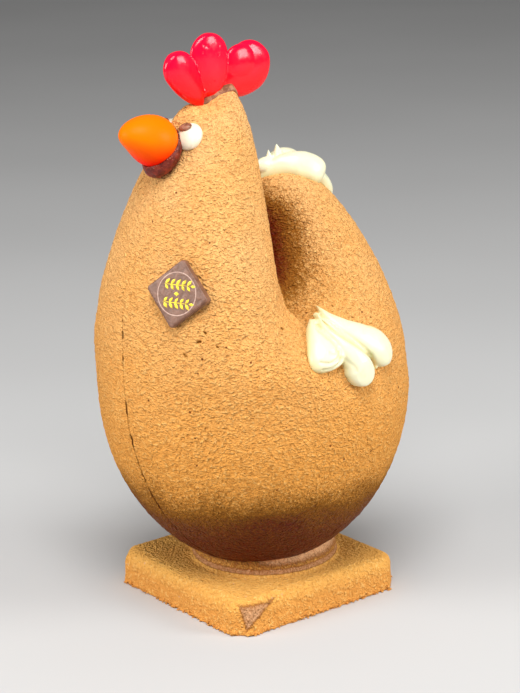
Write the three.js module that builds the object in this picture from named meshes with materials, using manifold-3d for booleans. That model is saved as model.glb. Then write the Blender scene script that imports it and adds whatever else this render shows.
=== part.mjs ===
// A hen-shaped chocolate egg on a square moulded base.
//
// Millimetres, +Z up. The origin is the centre of the base's underside, the hen looks along -Y,
// and its left side, where the plaque and the nearer wing are, is +X. The hen is symmetric
// about the plane X = 0, which is also where its two moulded halves meet.
//
// The body is two lofted forms made one: the egg with its neck and head, and the rounded tail
// behind them, which is pinched in at both sides so that the neck stands clear of it.
// Everything that is set on the body is cut by the body's own surface, grown by a small gap.
import * as THREE from 'three';
import { mergeVertices } from 'three/addons/utils/BufferGeometryUtils.js';
import Module from 'manifold-3d';

const { degToRad, lerp, smoothstep } = THREE.MathUtils;

const wasm = await Module();
wasm.setup();

// ---------------------------------------------------------------- driving dimensions

const GAP = 0.3;                    // clearance between pieces that touch

// Base: a square slab with cut corners and a round collar that carries the egg.
const BASE_SIDE = 90;
const BASE_HEIGHT = 15;
const BASE_CORNER_CUT = 6.4;        // along each side, at the corners
const BASE_EDGE_ROUND = 5;          // on the upper edges
const BASE_DRAFT = 0.035;           // how much narrower the slab is for each mm of height, in mm
const COLLAR_FOOT_RADIUS = 33;
const COLLAR_RADIUS = 31.4;
const COLLAR_TOP = 22.5;
const COLLAR_LIP = 1.2;

// Egg: an ellipsoid below its girth.
const EGG_RADIUS = 67.4;
const EGG_BOTTOM = 13;
const GIRTH_HEIGHT = 95;

// Tail: the egg's upper part, tapered and leaning back.
const TAIL_TOP = 185.5;
const TAIL_LEAN = 18;               // how far back the tail's top lies
const TAIL_TAPER = 0.342;
const TAIL_POWER = 1.68;            // how late the lean and the taper set in
const SCOOP_DEPTH = 0.5;           // pinch behind the neck, as a share of the tail's radius
const SCOOP_FRONT = degToRad(50);   // bearings between which the pinch fades out
const SCOOP_REAR = degToRad(128);
const SCOOP_FROM = [116, 156];      // heights between which the pinch sets in, and fades out
const SCOOP_TO = [162, 190];
const TAIL_ROOT = 65;               // the tail form starts this high, inside the egg
const TAIL_INSET = 0.7;             // how far inside the egg it lies up to the girth

// Between these heights the tail comes out flush with the egg.
const TAIL_EMERGES = [100, 117];

// Neck and head: a rounded cone with an upright rear and a full breast.
const HEAD_TOP = 222.5;
const HEAD_TOP_Y = -9.4;
const BREAST_FULLNESS = 1.88;
const NECK_REAR_Y = -2.4;
const NECK_TAPER = 0.284;           // half width lost for each mm of height
const HEAD_TIP_RADIUS = 10.83;
const CROWN_HEIGHT = 39.3;          // the rounded top of the neck's rear
// Between these heights the egg's round section turns into the neck's own.
const MIDDLE_TURNS = [91, 141.5];
const SIDES_TURN = [110, 138];
const REAR_TURNS = [116, 138];

// Seam between the two moulded halves.
const SEAM_HALF_WIDTH = 0.6;
const SEAM_DEPTH = 0.5;

// Beak: a short egg with a round blunt tip.
const BEAK_LENGTH = 26.6;
const BEAK_RADIUS = 10.5;
const BEAK_FULLNESS = 0.2;          // how much wider it is toward its rear
const BEAK_CENTRE_Y = -51.8;
const BEAK_CENTRE_HEIGHT = 206.5;
const BEAK_TILT = degToRad(18);     // its tip points a little upward

// Set chocolate under and behind the beak.
const BEAK_GLUE_RADII = [11.2, 6.8, 12.0];
const BEAK_GLUE_CENTRE_Y = -45.2;
const BEAK_GLUE_CENTRE_HEIGHT = 200.4;
const BEAK_GLUE_TILT = degToRad(-32);

// Eyes: white drops, each with a brown one on it.
const EYE_HEIGHT = 206.4;
const EYE_BEARING = degToRad(22.6);
const EYE_RADII = [5.3, 5.7, 4.2];
const EYE_PROUD = 0.4;              // how far the drop's centre stands out of the surface
const PUPIL_RADII = [2.9, 2.4, 1.5];
const PUPIL_FORWARD = 1.6;
const PUPIL_UP = 3.0;

// Comb: three flat teardrops fused at their tips, in the hen's mirror plane.
// Each leans by `lean` from upright, positive toward the rear.
const COMB_LOBES = [
  { y: -22.5, height: 217.5, length: 27.5, radius: 8.2, thickness: 6.8, lean: degToRad(-39), x: 1.3 },
  { y: -19.0, height: 218.5, length: 28.2, radius: 9.3, thickness: 6.4, lean: degToRad(0), x: 0.2 },
  { y: -15.5, height: 221.5, length: 29.6, radius: 10, thickness: 6.8, lean: degToRad(65), x: -0.9 },
];
const COMB_GLUE_HALF_WIDTH = 3.6;
const COMB_GLUE_HALF_HEIGHT = 2.4;
const COMB_GLUE_FRONT_Y = -31;
const COMB_GLUE_REAR_Y = -5;
const COMB_GLUE_RISE = 1.1;         // how far the bead's middle stands above the head

// Wings: three piped lobes on each flank, from tips near the neck to round ends behind.
// Stations are [along the flank, up], in mm from the wing's own centre.
const WING_HEIGHT = 118;
const WING_BEARING = degToRad(84);
const WING_LOBES = [
  {
    stations: [[-3.8, 18.8], [0.8, 15.4], [7, 11.2], [15, 6.6], [22.4, 0.8], [25.8, -5.4]],
    halfWidth: 6.8,
    thickness: 5.8,
  },
  {
    stations: [[-4.8, 17.4], [-1.2, 12.8], [4, 7], [9.8, 1], [11, -5], [10.2, -10.6]],
    halfWidth: 7.2,
    thickness: 6.6,
  },
  {
    stations: [[-6.8, 15.8], [-6.4, 12], [-5.8, 7], [-4.8, 2], [-3.4, -3.8]],
    halfWidth: 8.8,
    thickness: 5.8,
  },
];

// Tail feathers: three piped lobes that fan out from two pulled tips on the tail's top.
const TAIL_LOBES = [
  { bearing: degToRad(152), reach: 32, halfWidth: 6.4, thickness: 6.4 },
  { bearing: degToRad(180), reach: 40, halfWidth: 7, thickness: 6.2 },
  { bearing: degToRad(208), reach: 32, halfWidth: 6.4, thickness: 6.4 },
];
const TAIL_TIP_Y = 2.5;
// Where two of the pulled tips stand up: along the ridge, and how high.
const TAIL_SPIKES = [{ y: 9.5, height: 5 }, { y: 14.6, height: 7.2 }];
const TAIL_SPIKE_RADIUS = 2.6;

// Plaque: a small square plate set as a diamond on the breast, on the hen's left.
const PLAQUE_SIDE = 20.4;
const PLAQUE_THICKNESS = 2.6;
const PLAQUE_CHAMFER = 0.55;
const PLAQUE_CORNER_RADIUS = 0.9;
const PLAQUE_HEIGHT = 148;
const PLAQUE_BEARING = degToRad(34.2);
const PLAQUE_TURN = degToRad(40);
const PLAQUE_SINK = 1.0;            // how deep its back is pressed into the surface

// Facets
const BODY_COLUMNS = 40;
const NECK_ROWS = 33;
const TAIL_ROWS = 24;
const COLLAR_COLUMNS = 40;
const COMB_COLUMNS = 14;
const COMB_ROWS = 12;
const BEAD_COLUMNS = 12;
const BEAD_ROWS = 12;
const DROP_COLUMNS = 14;
const DROP_ROWS = 8;
const MERGE_TOLERANCE = 1e-4;

// ---------------------------------------------------------------- solids

/** A closed geometry with only its positions, and with its shared vertices merged. */
function welded(geometry) {
  const plain = geometry.clone();
  plain.deleteAttribute('normal');
  plain.deleteAttribute('uv');
  return mergeVertices(plain, MERGE_TOLERANCE);
}

function solidOf(geometry) {
  const closed = welded(geometry);
  const solid = new wasm.Manifold(new wasm.Mesh({
    numProp: 3,
    vertProperties: new Float32Array(closed.attributes.position.array),
    triVerts: new Uint32Array(closed.index.array),
  }));
  if (solid.isEmpty()) throw new Error('a piece is not a closed solid');
  return solid;
}

function geometryOf(solid) {
  const { vertProperties, triVerts } = solid.getMesh();
  const geometry = new THREE.BufferGeometry();
  geometry.setAttribute('position', new THREE.BufferAttribute(vertProperties, 3));
  geometry.setIndex(new THREE.BufferAttribute(triVerts, 1));
  geometry.computeVertexNormals();
  return geometry;
}

/** The same closed geometry with its surface moved outward. */
function grown(geometry, distance) {
  const closed = welded(geometry);
  closed.computeVertexNormals();
  const { position, normal } = closed.attributes;
  const point = new THREE.Vector3();
  const outward = new THREE.Vector3();
  for (let i = 0; i < position.count; i += 1) {
    point.fromBufferAttribute(position, i);
    point.addScaledVector(outward.fromBufferAttribute(normal, i), distance);
    position.setXYZ(i, point.x, point.y, point.z);
  }
  return closed;
}

function fused(solids) {
  return solids.reduce((whole, next) => whole.add(next));
}

/** An ellipsoid, placed by a matrix. */
function drop([a, b, c], placement, columns = DROP_COLUMNS, rows = DROP_ROWS) {
  return new THREE.SphereGeometry(1, columns, rows).scale(a, b, c).applyMatrix4(placement);
}

/** The mirror image in the plane X = 0, its faces still pointing out. */
function mirrored(geometry) {
  const image = welded(geometry).scale(-1, 1, 1);
  const { array } = image.index;
  for (let i = 0; i < array.length; i += 3) [array[i + 1], array[i + 2]] = [array[i + 2], array[i + 1]];
  return image;
}

// ---------------------------------------------------------------- body

/** The radius of the plain egg at a height. */
function eggRadius(height) {
  if (height <= GIRTH_HEIGHT) {
    const depth = (GIRTH_HEIGHT - height) / (GIRTH_HEIGHT - EGG_BOTTOM);
    return EGG_RADIUS * Math.sqrt(Math.max(0, 1 - depth * depth));
  }
  const rise = Math.min(1, (height - GIRTH_HEIGHT) / (TAIL_TOP - GIRTH_HEIGHT));
  return EGG_RADIUS * Math.sqrt(1 - rise * rise) * (1 - TAIL_TAPER * rise ** TAIL_POWER);
}

/** How far the tail's round section has leant back at a height. */
function tailCentre(height) {
  const rise = THREE.MathUtils.clamp((height - GIRTH_HEIGHT) / (TAIL_TOP - GIRTH_HEIGHT), 0, 1);
  return TAIL_LEAN * rise ** TAIL_POWER;
}

/** The profile of breast and face in the mirror plane. */
function frontY(height) {
  if (height <= GIRTH_HEIGHT) return -eggRadius(height);
  const rise = Math.min(1, (height - GIRTH_HEIGHT) / (HEAD_TOP - GIRTH_HEIGHT));
  return HEAD_TOP_Y - (EGG_RADIUS + HEAD_TOP_Y) * Math.sqrt(1 - rise ** BREAST_FULLNESS);
}

/** The profile of the neck's rear in the mirror plane. */
function rearY(height) {
  const rounding = Math.max(0, 1 - (HEAD_TOP - height) / CROWN_HEIGHT);
  return HEAD_TOP_Y + (NECK_REAR_Y - HEAD_TOP_Y) * Math.sqrt(Math.max(0, 1 - rounding ** 2));
}

/** A point of the egg, neck and head. Bearing 0 is the front and 90 degrees the hen's left. */
function neckPoint(height, bearing) {
  const round = eggRadius(height);
  const front = frontY(height);
  const middle = (front + rearY(height)) / 2;
  const rest = HEAD_TOP - height;
  const cone = Math.sqrt((NECK_TAPER * rest) ** 2 + 2 * HEAD_TIP_RADIUS * rest);
  const centre = lerp(0, middle, smoothstep(height, ...MIDDLE_TURNS));
  const side = lerp(round, cone, smoothstep(height, ...SIDES_TURN));
  const rear = lerp(round, rearY(height), smoothstep(height, ...REAR_TURNS));
  const along = Math.cos(bearing);
  const reach = along > 0 ? centre - front : rear - centre;
  return new THREE.Vector3(side * Math.sin(bearing), centre - reach * along, height);
}

/** A point of the tail, which is the upper egg pinched in behind the neck. */
function tailPoint(height, bearing) {
  const rootShare = Math.max(0, (GIRTH_HEIGHT - height) / (GIRTH_HEIGHT - TAIL_ROOT));
  const inset = TAIL_INSET * (1 - smoothstep(height, ...TAIL_EMERGES));
  const radius = Math.max(0, Math.min(eggRadius(height), EGG_RADIUS) - inset);
  const level = smoothstep(height, ...SCOOP_FROM) * (1 - smoothstep(height, ...SCOOP_TO));
  const turn = Math.abs(Math.atan2(Math.sin(bearing), Math.cos(bearing)));
  const facing = 1 - smoothstep(turn, SCOOP_FRONT, SCOOP_REAR);
  const reach = radius * Math.sqrt(1 - rootShare ** 2) * (1 - SCOOP_DEPTH * level * facing);
  return new THREE.Vector3(
    reach * Math.sin(bearing),
    tailCentre(height) - reach * Math.cos(bearing),
    height,
  );
}

/**
 * A closed form lofted through level sections. The columns beside the mirror plane lie at
 * the seam's two edges, and the column on the plane at its bottom.
 */
function loftedForm(pointOn, low, high, rows) {
  const geometry = new THREE.SphereGeometry(1, BODY_COLUMNS, rows);
  const { position } = geometry.attributes;
  const half = BODY_COLUMNS / 2;
  for (let row = 0; row <= rows; row += 1) {
    const height = lerp(low, high, (1 + Math.cos((Math.PI * row) / rows)) / 2);
    const halfWidth = Math.max(pointOn(height, Math.PI / 2).x, SEAM_HALF_WIDTH);
    const edge = Math.asin(Math.min(0.5, SEAM_HALF_WIDTH / halfWidth));
    for (let column = 0; column <= BODY_COLUMNS; column += 1) {
      const offset = THREE.MathUtils.euclideanModulo(column - BODY_COLUMNS / 4 + half, BODY_COLUMNS) - half;
      const step = Math.abs(offset);
      const onSeam = step === 0 || step === half;
      const spread = edge + ((Math.PI - 2 * edge) * (step - 1)) / (half - 2);
      const bearing = onSeam ? (step * Math.PI) / half : Math.sign(offset) * spread;
      const point = pointOn(height, bearing);
      if (onSeam) {
        point.x = 0;
        if (row > 0 && row < rows) point.y += step === 0 ? SEAM_DEPTH : -SEAM_DEPTH;
      }
      position.setXYZ(row * (BODY_COLUMNS + 1) + column, point.x, point.y, point.z);
    }
  }
  return welded(geometry);
}

const neckForm = loftedForm(neckPoint, EGG_BOTTOM, HEAD_TOP, NECK_ROWS);
const tailForm = loftedForm(tailPoint, TAIL_ROOT, TAIL_TOP, TAIL_ROWS);

/** The whole body as one solid, or its surface moved outward by a clearance. */
function bodySolid(clearance = 0) {
  const forms = [neckForm, tailForm];
  return fused(forms.map((form) => solidOf(clearance ? grown(form, clearance) : form)));
}

const bodyWithGap = bodySolid(GAP);

/** A frame on the surface: X to the hen's left along it, Y up along it and Z outward. */
function frameOn(pointOn, height, bearing) {
  const origin = pointOn(height, bearing);
  const across = pointOn(height, bearing + 0.01).sub(pointOn(height, bearing - 0.01)).normalize();
  const upward = pointOn(height + 0.1, bearing).sub(pointOn(height - 0.1, bearing)).normalize();
  const outward = across.clone().cross(upward).normalize();
  upward.copy(outward).cross(across);
  return new THREE.Matrix4().makeBasis(across, upward, outward).setPosition(origin);
}

// ---------------------------------------------------------------- base

function slabGeometry() {
  const half = BASE_SIDE / 2 - BASE_EDGE_ROUND;
  const cut = BASE_CORNER_CUT - BASE_EDGE_ROUND * (2 - Math.SQRT2);
  const outline = new THREE.Shape();
  outline.moveTo(half, half - cut);
  for (let corner = 0; corner < 4; corner += 1) {
    const turn = (corner * Math.PI) / 2;
    const from = new THREE.Vector2(half, half - cut).rotateAround(new THREE.Vector2(), turn);
    const to = new THREE.Vector2(half - cut, half).rotateAround(new THREE.Vector2(), turn);
    outline.lineTo(from.x, from.y);
    outline.lineTo(to.x, to.y);
  }
  const below = 2 * BASE_EDGE_ROUND;
  const slab = new THREE.ExtrudeGeometry(outline, {
    depth: BASE_HEIGHT + below - 2 * BASE_EDGE_ROUND,
    bevelThickness: BASE_EDGE_ROUND,
    bevelSize: BASE_EDGE_ROUND,
    bevelSegments: 4,
  });
  slab.translate(0, 0, BASE_EDGE_ROUND - below);
  const { position } = slab.attributes;
  for (let i = 0; i < position.count; i += 1) {
    const share = 1 - (2 * BASE_DRAFT * Math.max(0, position.getZ(i))) / BASE_SIDE;
    position.setXY(i, position.getX(i) * share, position.getY(i) * share);
  }
  return slab;
}

function collarGeometry() {
  const profile = new THREE.Path();
  profile.moveTo(0, BASE_HEIGHT - 3);
  profile.lineTo(COLLAR_FOOT_RADIUS + 1.5, BASE_HEIGHT - 3);
  profile.lineTo(COLLAR_FOOT_RADIUS + 1.5, BASE_HEIGHT - 0.4);
  profile.quadraticCurveTo(COLLAR_RADIUS, BASE_HEIGHT, COLLAR_RADIUS, BASE_HEIGHT + 3);
  profile.lineTo(COLLAR_RADIUS, COLLAR_TOP - COLLAR_LIP);
  profile.quadraticCurveTo(COLLAR_RADIUS, COLLAR_TOP, COLLAR_RADIUS - COLLAR_LIP, COLLAR_TOP);
  profile.lineTo(0, COLLAR_TOP);
  const points = profile.getPoints(3);
  return new THREE.LatheGeometry(points, COLLAR_COLUMNS).rotateX(Math.PI / 2);
}

function baseSolid() {
  const floorCut = new THREE.BoxGeometry(2 * BASE_SIDE, 2 * BASE_SIDE, BASE_SIDE);
  floorCut.translate(0, 0, -BASE_SIDE / 2);
  return solidOf(slabGeometry())
    .add(solidOf(collarGeometry()))
    .subtract(solidOf(floorCut))
    .subtract(bodyWithGap);
}

// ---------------------------------------------------------------- beak, eyes and comb

/** A short egg of revolution along -Y, fuller toward its rear. */
function beakGeometry(clearance = 0) {
  const geometry = new THREE.SphereGeometry(1, DROP_COLUMNS + 4, DROP_ROWS + 4).rotateX(Math.PI / 2);
  const { position } = geometry.attributes;
  for (let i = 0; i < position.count; i += 1) {
    const along = position.getY(i);
    const radius = BEAK_RADIUS * (1 + BEAK_FULLNESS * along);
    position.setXYZ(i, position.getX(i) * radius, (along * BEAK_LENGTH) / 2, position.getZ(i) * radius);
  }
  geometry.rotateX(-BEAK_TILT).translate(0, BEAK_CENTRE_Y, BEAK_CENTRE_HEIGHT);
  return clearance ? grown(geometry, clearance) : geometry;
}

function beakGlueSolid() {
  const placement = new THREE.Matrix4()
    .makeTranslation(0, BEAK_GLUE_CENTRE_Y, BEAK_GLUE_CENTRE_HEIGHT)
    .multiply(new THREE.Matrix4().makeRotationX(BEAK_GLUE_TILT));
  return solidOf(drop(BEAK_GLUE_RADII, placement, DROP_COLUMNS + 4, DROP_ROWS + 2))
    .subtract(bodyWithGap)
    .subtract(solidOf(beakGeometry(GAP)))
    .subtract(solidOf(eyeWithGap))
    .subtract(solidOf(mirrored(eyeWithGap)));
}

function eyeFrame() {
  return frameOn(neckPoint, EYE_HEIGHT, EYE_BEARING)
    .multiply(new THREE.Matrix4().makeTranslation(0, 0, EYE_PROUD));
}

function pupilGeometry() {
  const [a, b, c] = EYE_RADII;
  const x = -PUPIL_FORWARD;
  const y = PUPIL_UP;
  const z = c * Math.sqrt(1 - (x / a) ** 2 - (y / b) ** 2);
  const outward = new THREE.Vector3(x / a ** 2, y / b ** 2, z / c ** 2).normalize();
  const across = new THREE.Vector3(0, 1, 0).cross(outward).normalize();
  const upward = outward.clone().cross(across);
  const onEye = new THREE.Matrix4().makeBasis(across, upward, outward).setPosition(x, y, z);
  return drop(PUPIL_RADII, eyeFrame().multiply(onEye), 12, 8);
}

/** Half width of a teardrop: full flanks from its tip that run into a round end. */
function teardropHalfWidth(fromTip, length, radius) {
  const roundCentre = length - radius;
  if (fromTip < roundCentre) return radius * (1 - (1 - fromTip / roundCentre) ** 2) ** 0.82;
  return Math.sqrt(Math.max(0, radius ** 2 - (fromTip - roundCentre) ** 2));
}

/** A flat teardrop that rises from its tip, with a puffed lens section. */
function combLobe({ y, height, length, radius, thickness, lean, x }, clearance) {
  const geometry = new THREE.SphereGeometry(1, COMB_COLUMNS, COMB_ROWS).rotateX(Math.PI / 2);
  const { position } = geometry.attributes;
  for (let i = 0; i < position.count; i += 1) {
    const fromTip = (length * (1 + position.getZ(i))) / 2;
    const turn = Math.atan2(position.getX(i), position.getY(i));
    const halfWidth = teardropHalfWidth(fromTip, length, radius);
    const halfDepth = (thickness / 2) * Math.sqrt(halfWidth / radius);
    position.setXYZ(i, halfDepth * Math.sin(turn), halfWidth * Math.cos(turn), fromTip);
  }
  geometry.rotateX(-lean).translate(x, y, height);
  return clearance ? grown(geometry, clearance) : geometry;
}

function combSolid(clearance = 0) {
  return fused(COMB_LOBES.map((lobe) => solidOf(combLobe(lobe, clearance))));
}

/** A bead of set chocolate along the top of the head, under the comb. */
function combGlueGeometry() {
  const crest = [];
  for (let step = 0; step <= 8; step += 1) {
    const y = lerp(COMB_GLUE_FRONT_Y, COMB_GLUE_REAR_Y, step / 8);
    crest.push(new THREE.Vector3(0, y, crestHeight(y) + COMB_GLUE_RISE));
  }
  const roundEnds = (share) => Math.sqrt(Math.max(0, 1 - (2 * share - 1) ** 4));
  return beadAlong(
    new THREE.CatmullRomCurve3(crest),
    (share) => COMB_GLUE_HALF_WIDTH * roundEnds(share),
    (share) => COMB_GLUE_HALF_HEIGHT * roundEnds(share),
    () => new THREE.Vector3(0, 0, 1),
  );
}

function combGlueSolid() {
  return solidOf(combGlueGeometry()).subtract(bodyWithGap).subtract(combSolid(GAP));
}

/** The height of the head's top in the mirror plane, found by halving. */
function crestHeight(y) {
  let low = GIRTH_HEIGHT;
  let high = HEAD_TOP;
  const inside = (height) => frontY(height) < y && y < rearY(height);
  if (!inside(HEAD_TOP - CROWN_HEIGHT)) return HEAD_TOP - CROWN_HEIGHT;
  low = HEAD_TOP - CROWN_HEIGHT;
  for (let halving = 0; halving < 20; halving += 1) {
    const middle = (low + high) / 2;
    if (inside(middle)) low = middle;
    else high = middle;
  }
  return low;
}

// ---------------------------------------------------------------- piped chocolate

/** A closed bead along a path, with a half width across and a half height along `outwardAt`. */
function beadAlong(path, halfWidthAt, halfHeightAt, outwardAt) {
  const geometry = new THREE.SphereGeometry(1, BEAD_COLUMNS, BEAD_ROWS);
  const { position } = geometry.attributes;
  for (let row = 0; row <= BEAD_ROWS; row += 1) {
    const share = (1 - Math.cos((Math.PI * row) / BEAD_ROWS)) / 2;
    const centre = path.getPoint(share);
    const forward = path.getTangent(share);
    const outward = outwardAt(centre);
    const across = forward.clone().cross(outward).normalize();
    outward.copy(across).cross(forward);
    for (let column = 0; column <= BEAD_COLUMNS; column += 1) {
      const turn = (2 * Math.PI * column) / BEAD_COLUMNS;
      const point = centre.clone()
        .addScaledVector(across, Math.cos(turn) * halfWidthAt(share))
        .addScaledVector(outward, Math.sin(turn) * halfHeightAt(share));
      position.setXYZ(row * (BEAD_COLUMNS + 1) + column, point.x, point.y, point.z);
    }
  }
  return welded(geometry);
}

/** How a piped lobe swells from its pulled tip (0) to its round end (1). */
function pipedSwell(share) {
  return 1.47 * share ** 0.75 * Math.sqrt(Math.max(0, 1 - share ** 4));
}

function pipedLobe(points, outwardAt, halfWidth, thickness) {
  const path = new THREE.CatmullRomCurve3(points);
  return beadAlong(
    path,
    (share) => halfWidth * pipedSwell(share),
    (share) => thickness * Math.sqrt(pipedSwell(share)),
    outwardAt,
  );
}

/** One lobe of a wing on the hen's left flank. */
function wingLobe({ stations, halfWidth, thickness }) {
  const points = stations.map(([along, up]) => {
    const height = WING_HEIGHT + up;
    const bearing = WING_BEARING + along / eggRadius(height);
    return tailPoint(height, bearing);
  });
  const outwardAt = (point) => {
    const bearing = Math.atan2(point.x, -point.y);
    return new THREE.Vector3().setFromMatrixColumn(frameOn(tailPoint, point.z, bearing), 2);
  };
  return pipedLobe(points, outwardAt, halfWidth, thickness);
}

/** One lobe of the tail feathers, from the tail's top outward and down its slope. */
function tailLobe({ bearing, reach, halfWidth, thickness }) {
  const points = [];
  for (let step = 0; step <= 4; step += 1) {
    points.push(tailSlope(bearing, 1 + (reach * step) / 4));
  }
  return pipedLobe(points, () => new THREE.Vector3(0, 0.25, 1).normalize(), halfWidth, thickness);
}

/** The point of the tail's top that lies `distance` from the lobes' tips on a bearing. */
function tailSlope(bearing, distance) {
  const x = distance * Math.sin(bearing);
  const y = TAIL_TIP_Y - distance * Math.cos(bearing);
  let low = GIRTH_HEIGHT;
  let high = TAIL_TOP;
  for (let halving = 0; halving < 20; halving += 1) {
    const middle = (low + high) / 2;
    if (Math.hypot(x, y - tailCentre(middle)) < eggRadius(middle)) low = middle;
    else high = middle;
  }
  return new THREE.Vector3(x, y, low);
}

/** A pulled tip of piped chocolate: a small spike with hollowed flanks. */
function tailSpike({ y, height }) {
  const profile = new THREE.Path();
  profile.moveTo(0, -4);
  profile.lineTo(TAIL_SPIKE_RADIUS, -4);
  profile.lineTo(TAIL_SPIKE_RADIUS, 0);
  profile.quadraticCurveTo(0.9, 1.4, 0, height);
  return new THREE.LatheGeometry(profile.getPoints(3), 10)
    .rotateX(Math.PI / 2)
    .rotateX(degToRad(8))
    .translate(0, y, tailSlope(Math.PI, y - TAIL_TIP_Y).z + 2);
}

function tailFeathersSolid() {
  const pieces = [...TAIL_LOBES.map(tailLobe), ...TAIL_SPIKES.map(tailSpike)];
  return fused(pieces.map(solidOf)).subtract(bodyWithGap);
}

// ---------------------------------------------------------------- plaque

function plaqueSolid() {
  const half = PLAQUE_SIDE / 2 - PLAQUE_CHAMFER;
  const outline = new THREE.Shape();
  for (let corner = 0; corner < 4; corner += 1) {
    const turn = (corner * Math.PI) / 2;
    const centre = new THREE.Vector2(half - PLAQUE_CORNER_RADIUS, half - PLAQUE_CORNER_RADIUS)
      .rotateAround(new THREE.Vector2(), turn);
    outline.absarc(centre.x, centre.y, PLAQUE_CORNER_RADIUS, turn, turn + Math.PI / 2);
  }
  const plate = new THREE.ExtrudeGeometry(outline, {
    depth: PLAQUE_THICKNESS + PLAQUE_SINK - PLAQUE_CHAMFER,
    bevelThickness: PLAQUE_CHAMFER,
    bevelSize: PLAQUE_CHAMFER,
    bevelSegments: 2,
    curveSegments: 3,
  });
  const placement = frameOn(neckPoint, PLAQUE_HEIGHT, PLAQUE_BEARING)
    .multiply(new THREE.Matrix4().makeRotationZ(PLAQUE_TURN))
    .multiply(new THREE.Matrix4().makeTranslation(0, 0, -PLAQUE_SINK));
  return solidOf(plate.applyMatrix4(placement)).subtract(bodyWithGap);
}

// ---------------------------------------------------------------- materials and meshes

const materials = {
  velvet: new THREE.MeshStandardMaterial({ color: 0xc98a45, roughness: 0.95, metalness: 0 }),
  velvetBase: new THREE.MeshStandardMaterial({ color: 0xb98a50, roughness: 0.95, metalness: 0 }),
  redChocolate: new THREE.MeshStandardMaterial({ color: 0xd8102a, roughness: 0.25, metalness: 0 }),
  orangeChocolate: new THREE.MeshStandardMaterial({ color: 0xf47a0c, roughness: 0.25, metalness: 0 }),
  darkChocolate: new THREE.MeshStandardMaterial({ color: 0x55302a, roughness: 0.4, metalness: 0 }),
  milkChocolate: new THREE.MeshStandardMaterial({ color: 0x7d5a50, roughness: 0.45, metalness: 0 }),
  whiteChocolate: new THREE.MeshStandardMaterial({ color: 0xf6f2e2, roughness: 0.35, metalness: 0 }),
};

const hen = new THREE.Group();

function place(name, solid, material) {
  const mesh = new THREE.Mesh(geometryOf(solid), material);
  mesh.name = name;
  hen.add(mesh);
}

const eye = drop(EYE_RADII, eyeFrame());
const eyeWithGap = grown(eye, GAP);
const wing = geometryOf(fused(WING_LOBES.map((lobe) => solidOf(wingLobe(lobe)))));

place('base', baseSolid(), materials.velvetBase);
place('body', bodySolid(), materials.velvet);
place('comb', combSolid().subtract(bodyWithGap), materials.redChocolate);
place('comb_glue', combGlueSolid(), materials.milkChocolate);
place('beak', solidOf(beakGeometry()).subtract(bodyWithGap), materials.orangeChocolate);
place('beak_glue', beakGlueSolid(), materials.darkChocolate);
for (const [side, onSide] of [['left', (geometry) => geometry], ['right', mirrored]]) {
  const pupil = solidOf(onSide(pupilGeometry())).subtract(solidOf(onSide(eyeWithGap)));
  const clearOfBeak = solidOf(onSide(eye)).subtract(solidOf(beakGeometry(GAP)));
  place(`eye_${side}`, clearOfBeak.subtract(bodyWithGap), materials.whiteChocolate);
  place(`pupil_${side}`, pupil.subtract(bodyWithGap), materials.milkChocolate);
  place(`wing_${side}`, solidOf(onSide(wing)).subtract(bodyWithGap), materials.whiteChocolate);
}
place('tail_feathers', tailFeathersSolid(), materials.whiteChocolate);
place('plaque', plaqueSolid(), materials.darkChocolate);

export default hen;
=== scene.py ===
"""A hen-shaped chocolate egg on a square moulded base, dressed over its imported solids.

The egg, neck and tail are lofted from the same named sizes as the solids, fused, and given
the fine wrinkled grain of sprayed cocoa butter. Comb, beak, eyes, piped wings, tail feathers
and plaque are shaped at their own places and pressed on to that skin. Lengths are in
millimetres until a shape is written to its mesh, which is in metres.
"""
import logging
import math
import random
from dataclasses import dataclass
from enum import Enum
from typing import Callable, Sequence

import bpy
import numpy as np
from mathutils import Matrix, Vector, noise
from mathutils.bvhtree import BVHTree


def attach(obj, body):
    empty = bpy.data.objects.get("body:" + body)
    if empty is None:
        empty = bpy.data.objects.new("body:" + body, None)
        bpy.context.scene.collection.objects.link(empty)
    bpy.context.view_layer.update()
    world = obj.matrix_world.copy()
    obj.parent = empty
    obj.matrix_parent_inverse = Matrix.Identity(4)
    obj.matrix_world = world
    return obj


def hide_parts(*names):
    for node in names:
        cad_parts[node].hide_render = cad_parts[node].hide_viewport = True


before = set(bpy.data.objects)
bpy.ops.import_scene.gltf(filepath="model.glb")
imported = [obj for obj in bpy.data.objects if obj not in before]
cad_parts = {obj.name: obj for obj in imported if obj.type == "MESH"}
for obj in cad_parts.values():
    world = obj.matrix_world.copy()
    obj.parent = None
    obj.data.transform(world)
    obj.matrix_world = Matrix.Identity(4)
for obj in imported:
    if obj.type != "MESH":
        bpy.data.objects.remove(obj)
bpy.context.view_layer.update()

LOG = logging.getLogger("chocolate_hen")
MM = 0.001
UNDER_SKIN = 0.2
MERGE_GAP = 0.02
GROUP_STEPS = 24
LOBE_UNDERSIDE = 0.75
LOBE_ROUNDNESS = 6

Colour = tuple[float, float, float]
Points = np.ndarray


class Slot(Enum):
    """The material slots, by the names that the log shows."""

    BASE = "sprayed_base"
    BODY = "sprayed_body"
    COMB = "red_chocolate"
    COMB_GLUE = "brown_set_chocolate"
    BEAK = "orange_chocolate"
    BEAK_GLUE = "dark_set_chocolate"
    EYE = "eye_white"
    PUPIL = "pupil_brown"
    PIPED = "piped_white"
    PLAQUE = "plaque_chocolate"


class Side(Enum):
    """The hen's own sides, with the sign of X on each."""

    LEFT = 1
    RIGHT = -1


# ---------------------------------------------------------------- hand tools


def only(piece: bpy.types.Object) -> None:
    """Select one piece, and nothing else, and make it active.

    Args:
        piece: The piece to work on.
    """
    bpy.ops.object.select_all(action="DESELECT")
    piece.select_set(True)
    bpy.context.view_layer.objects.active = piece


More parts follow.
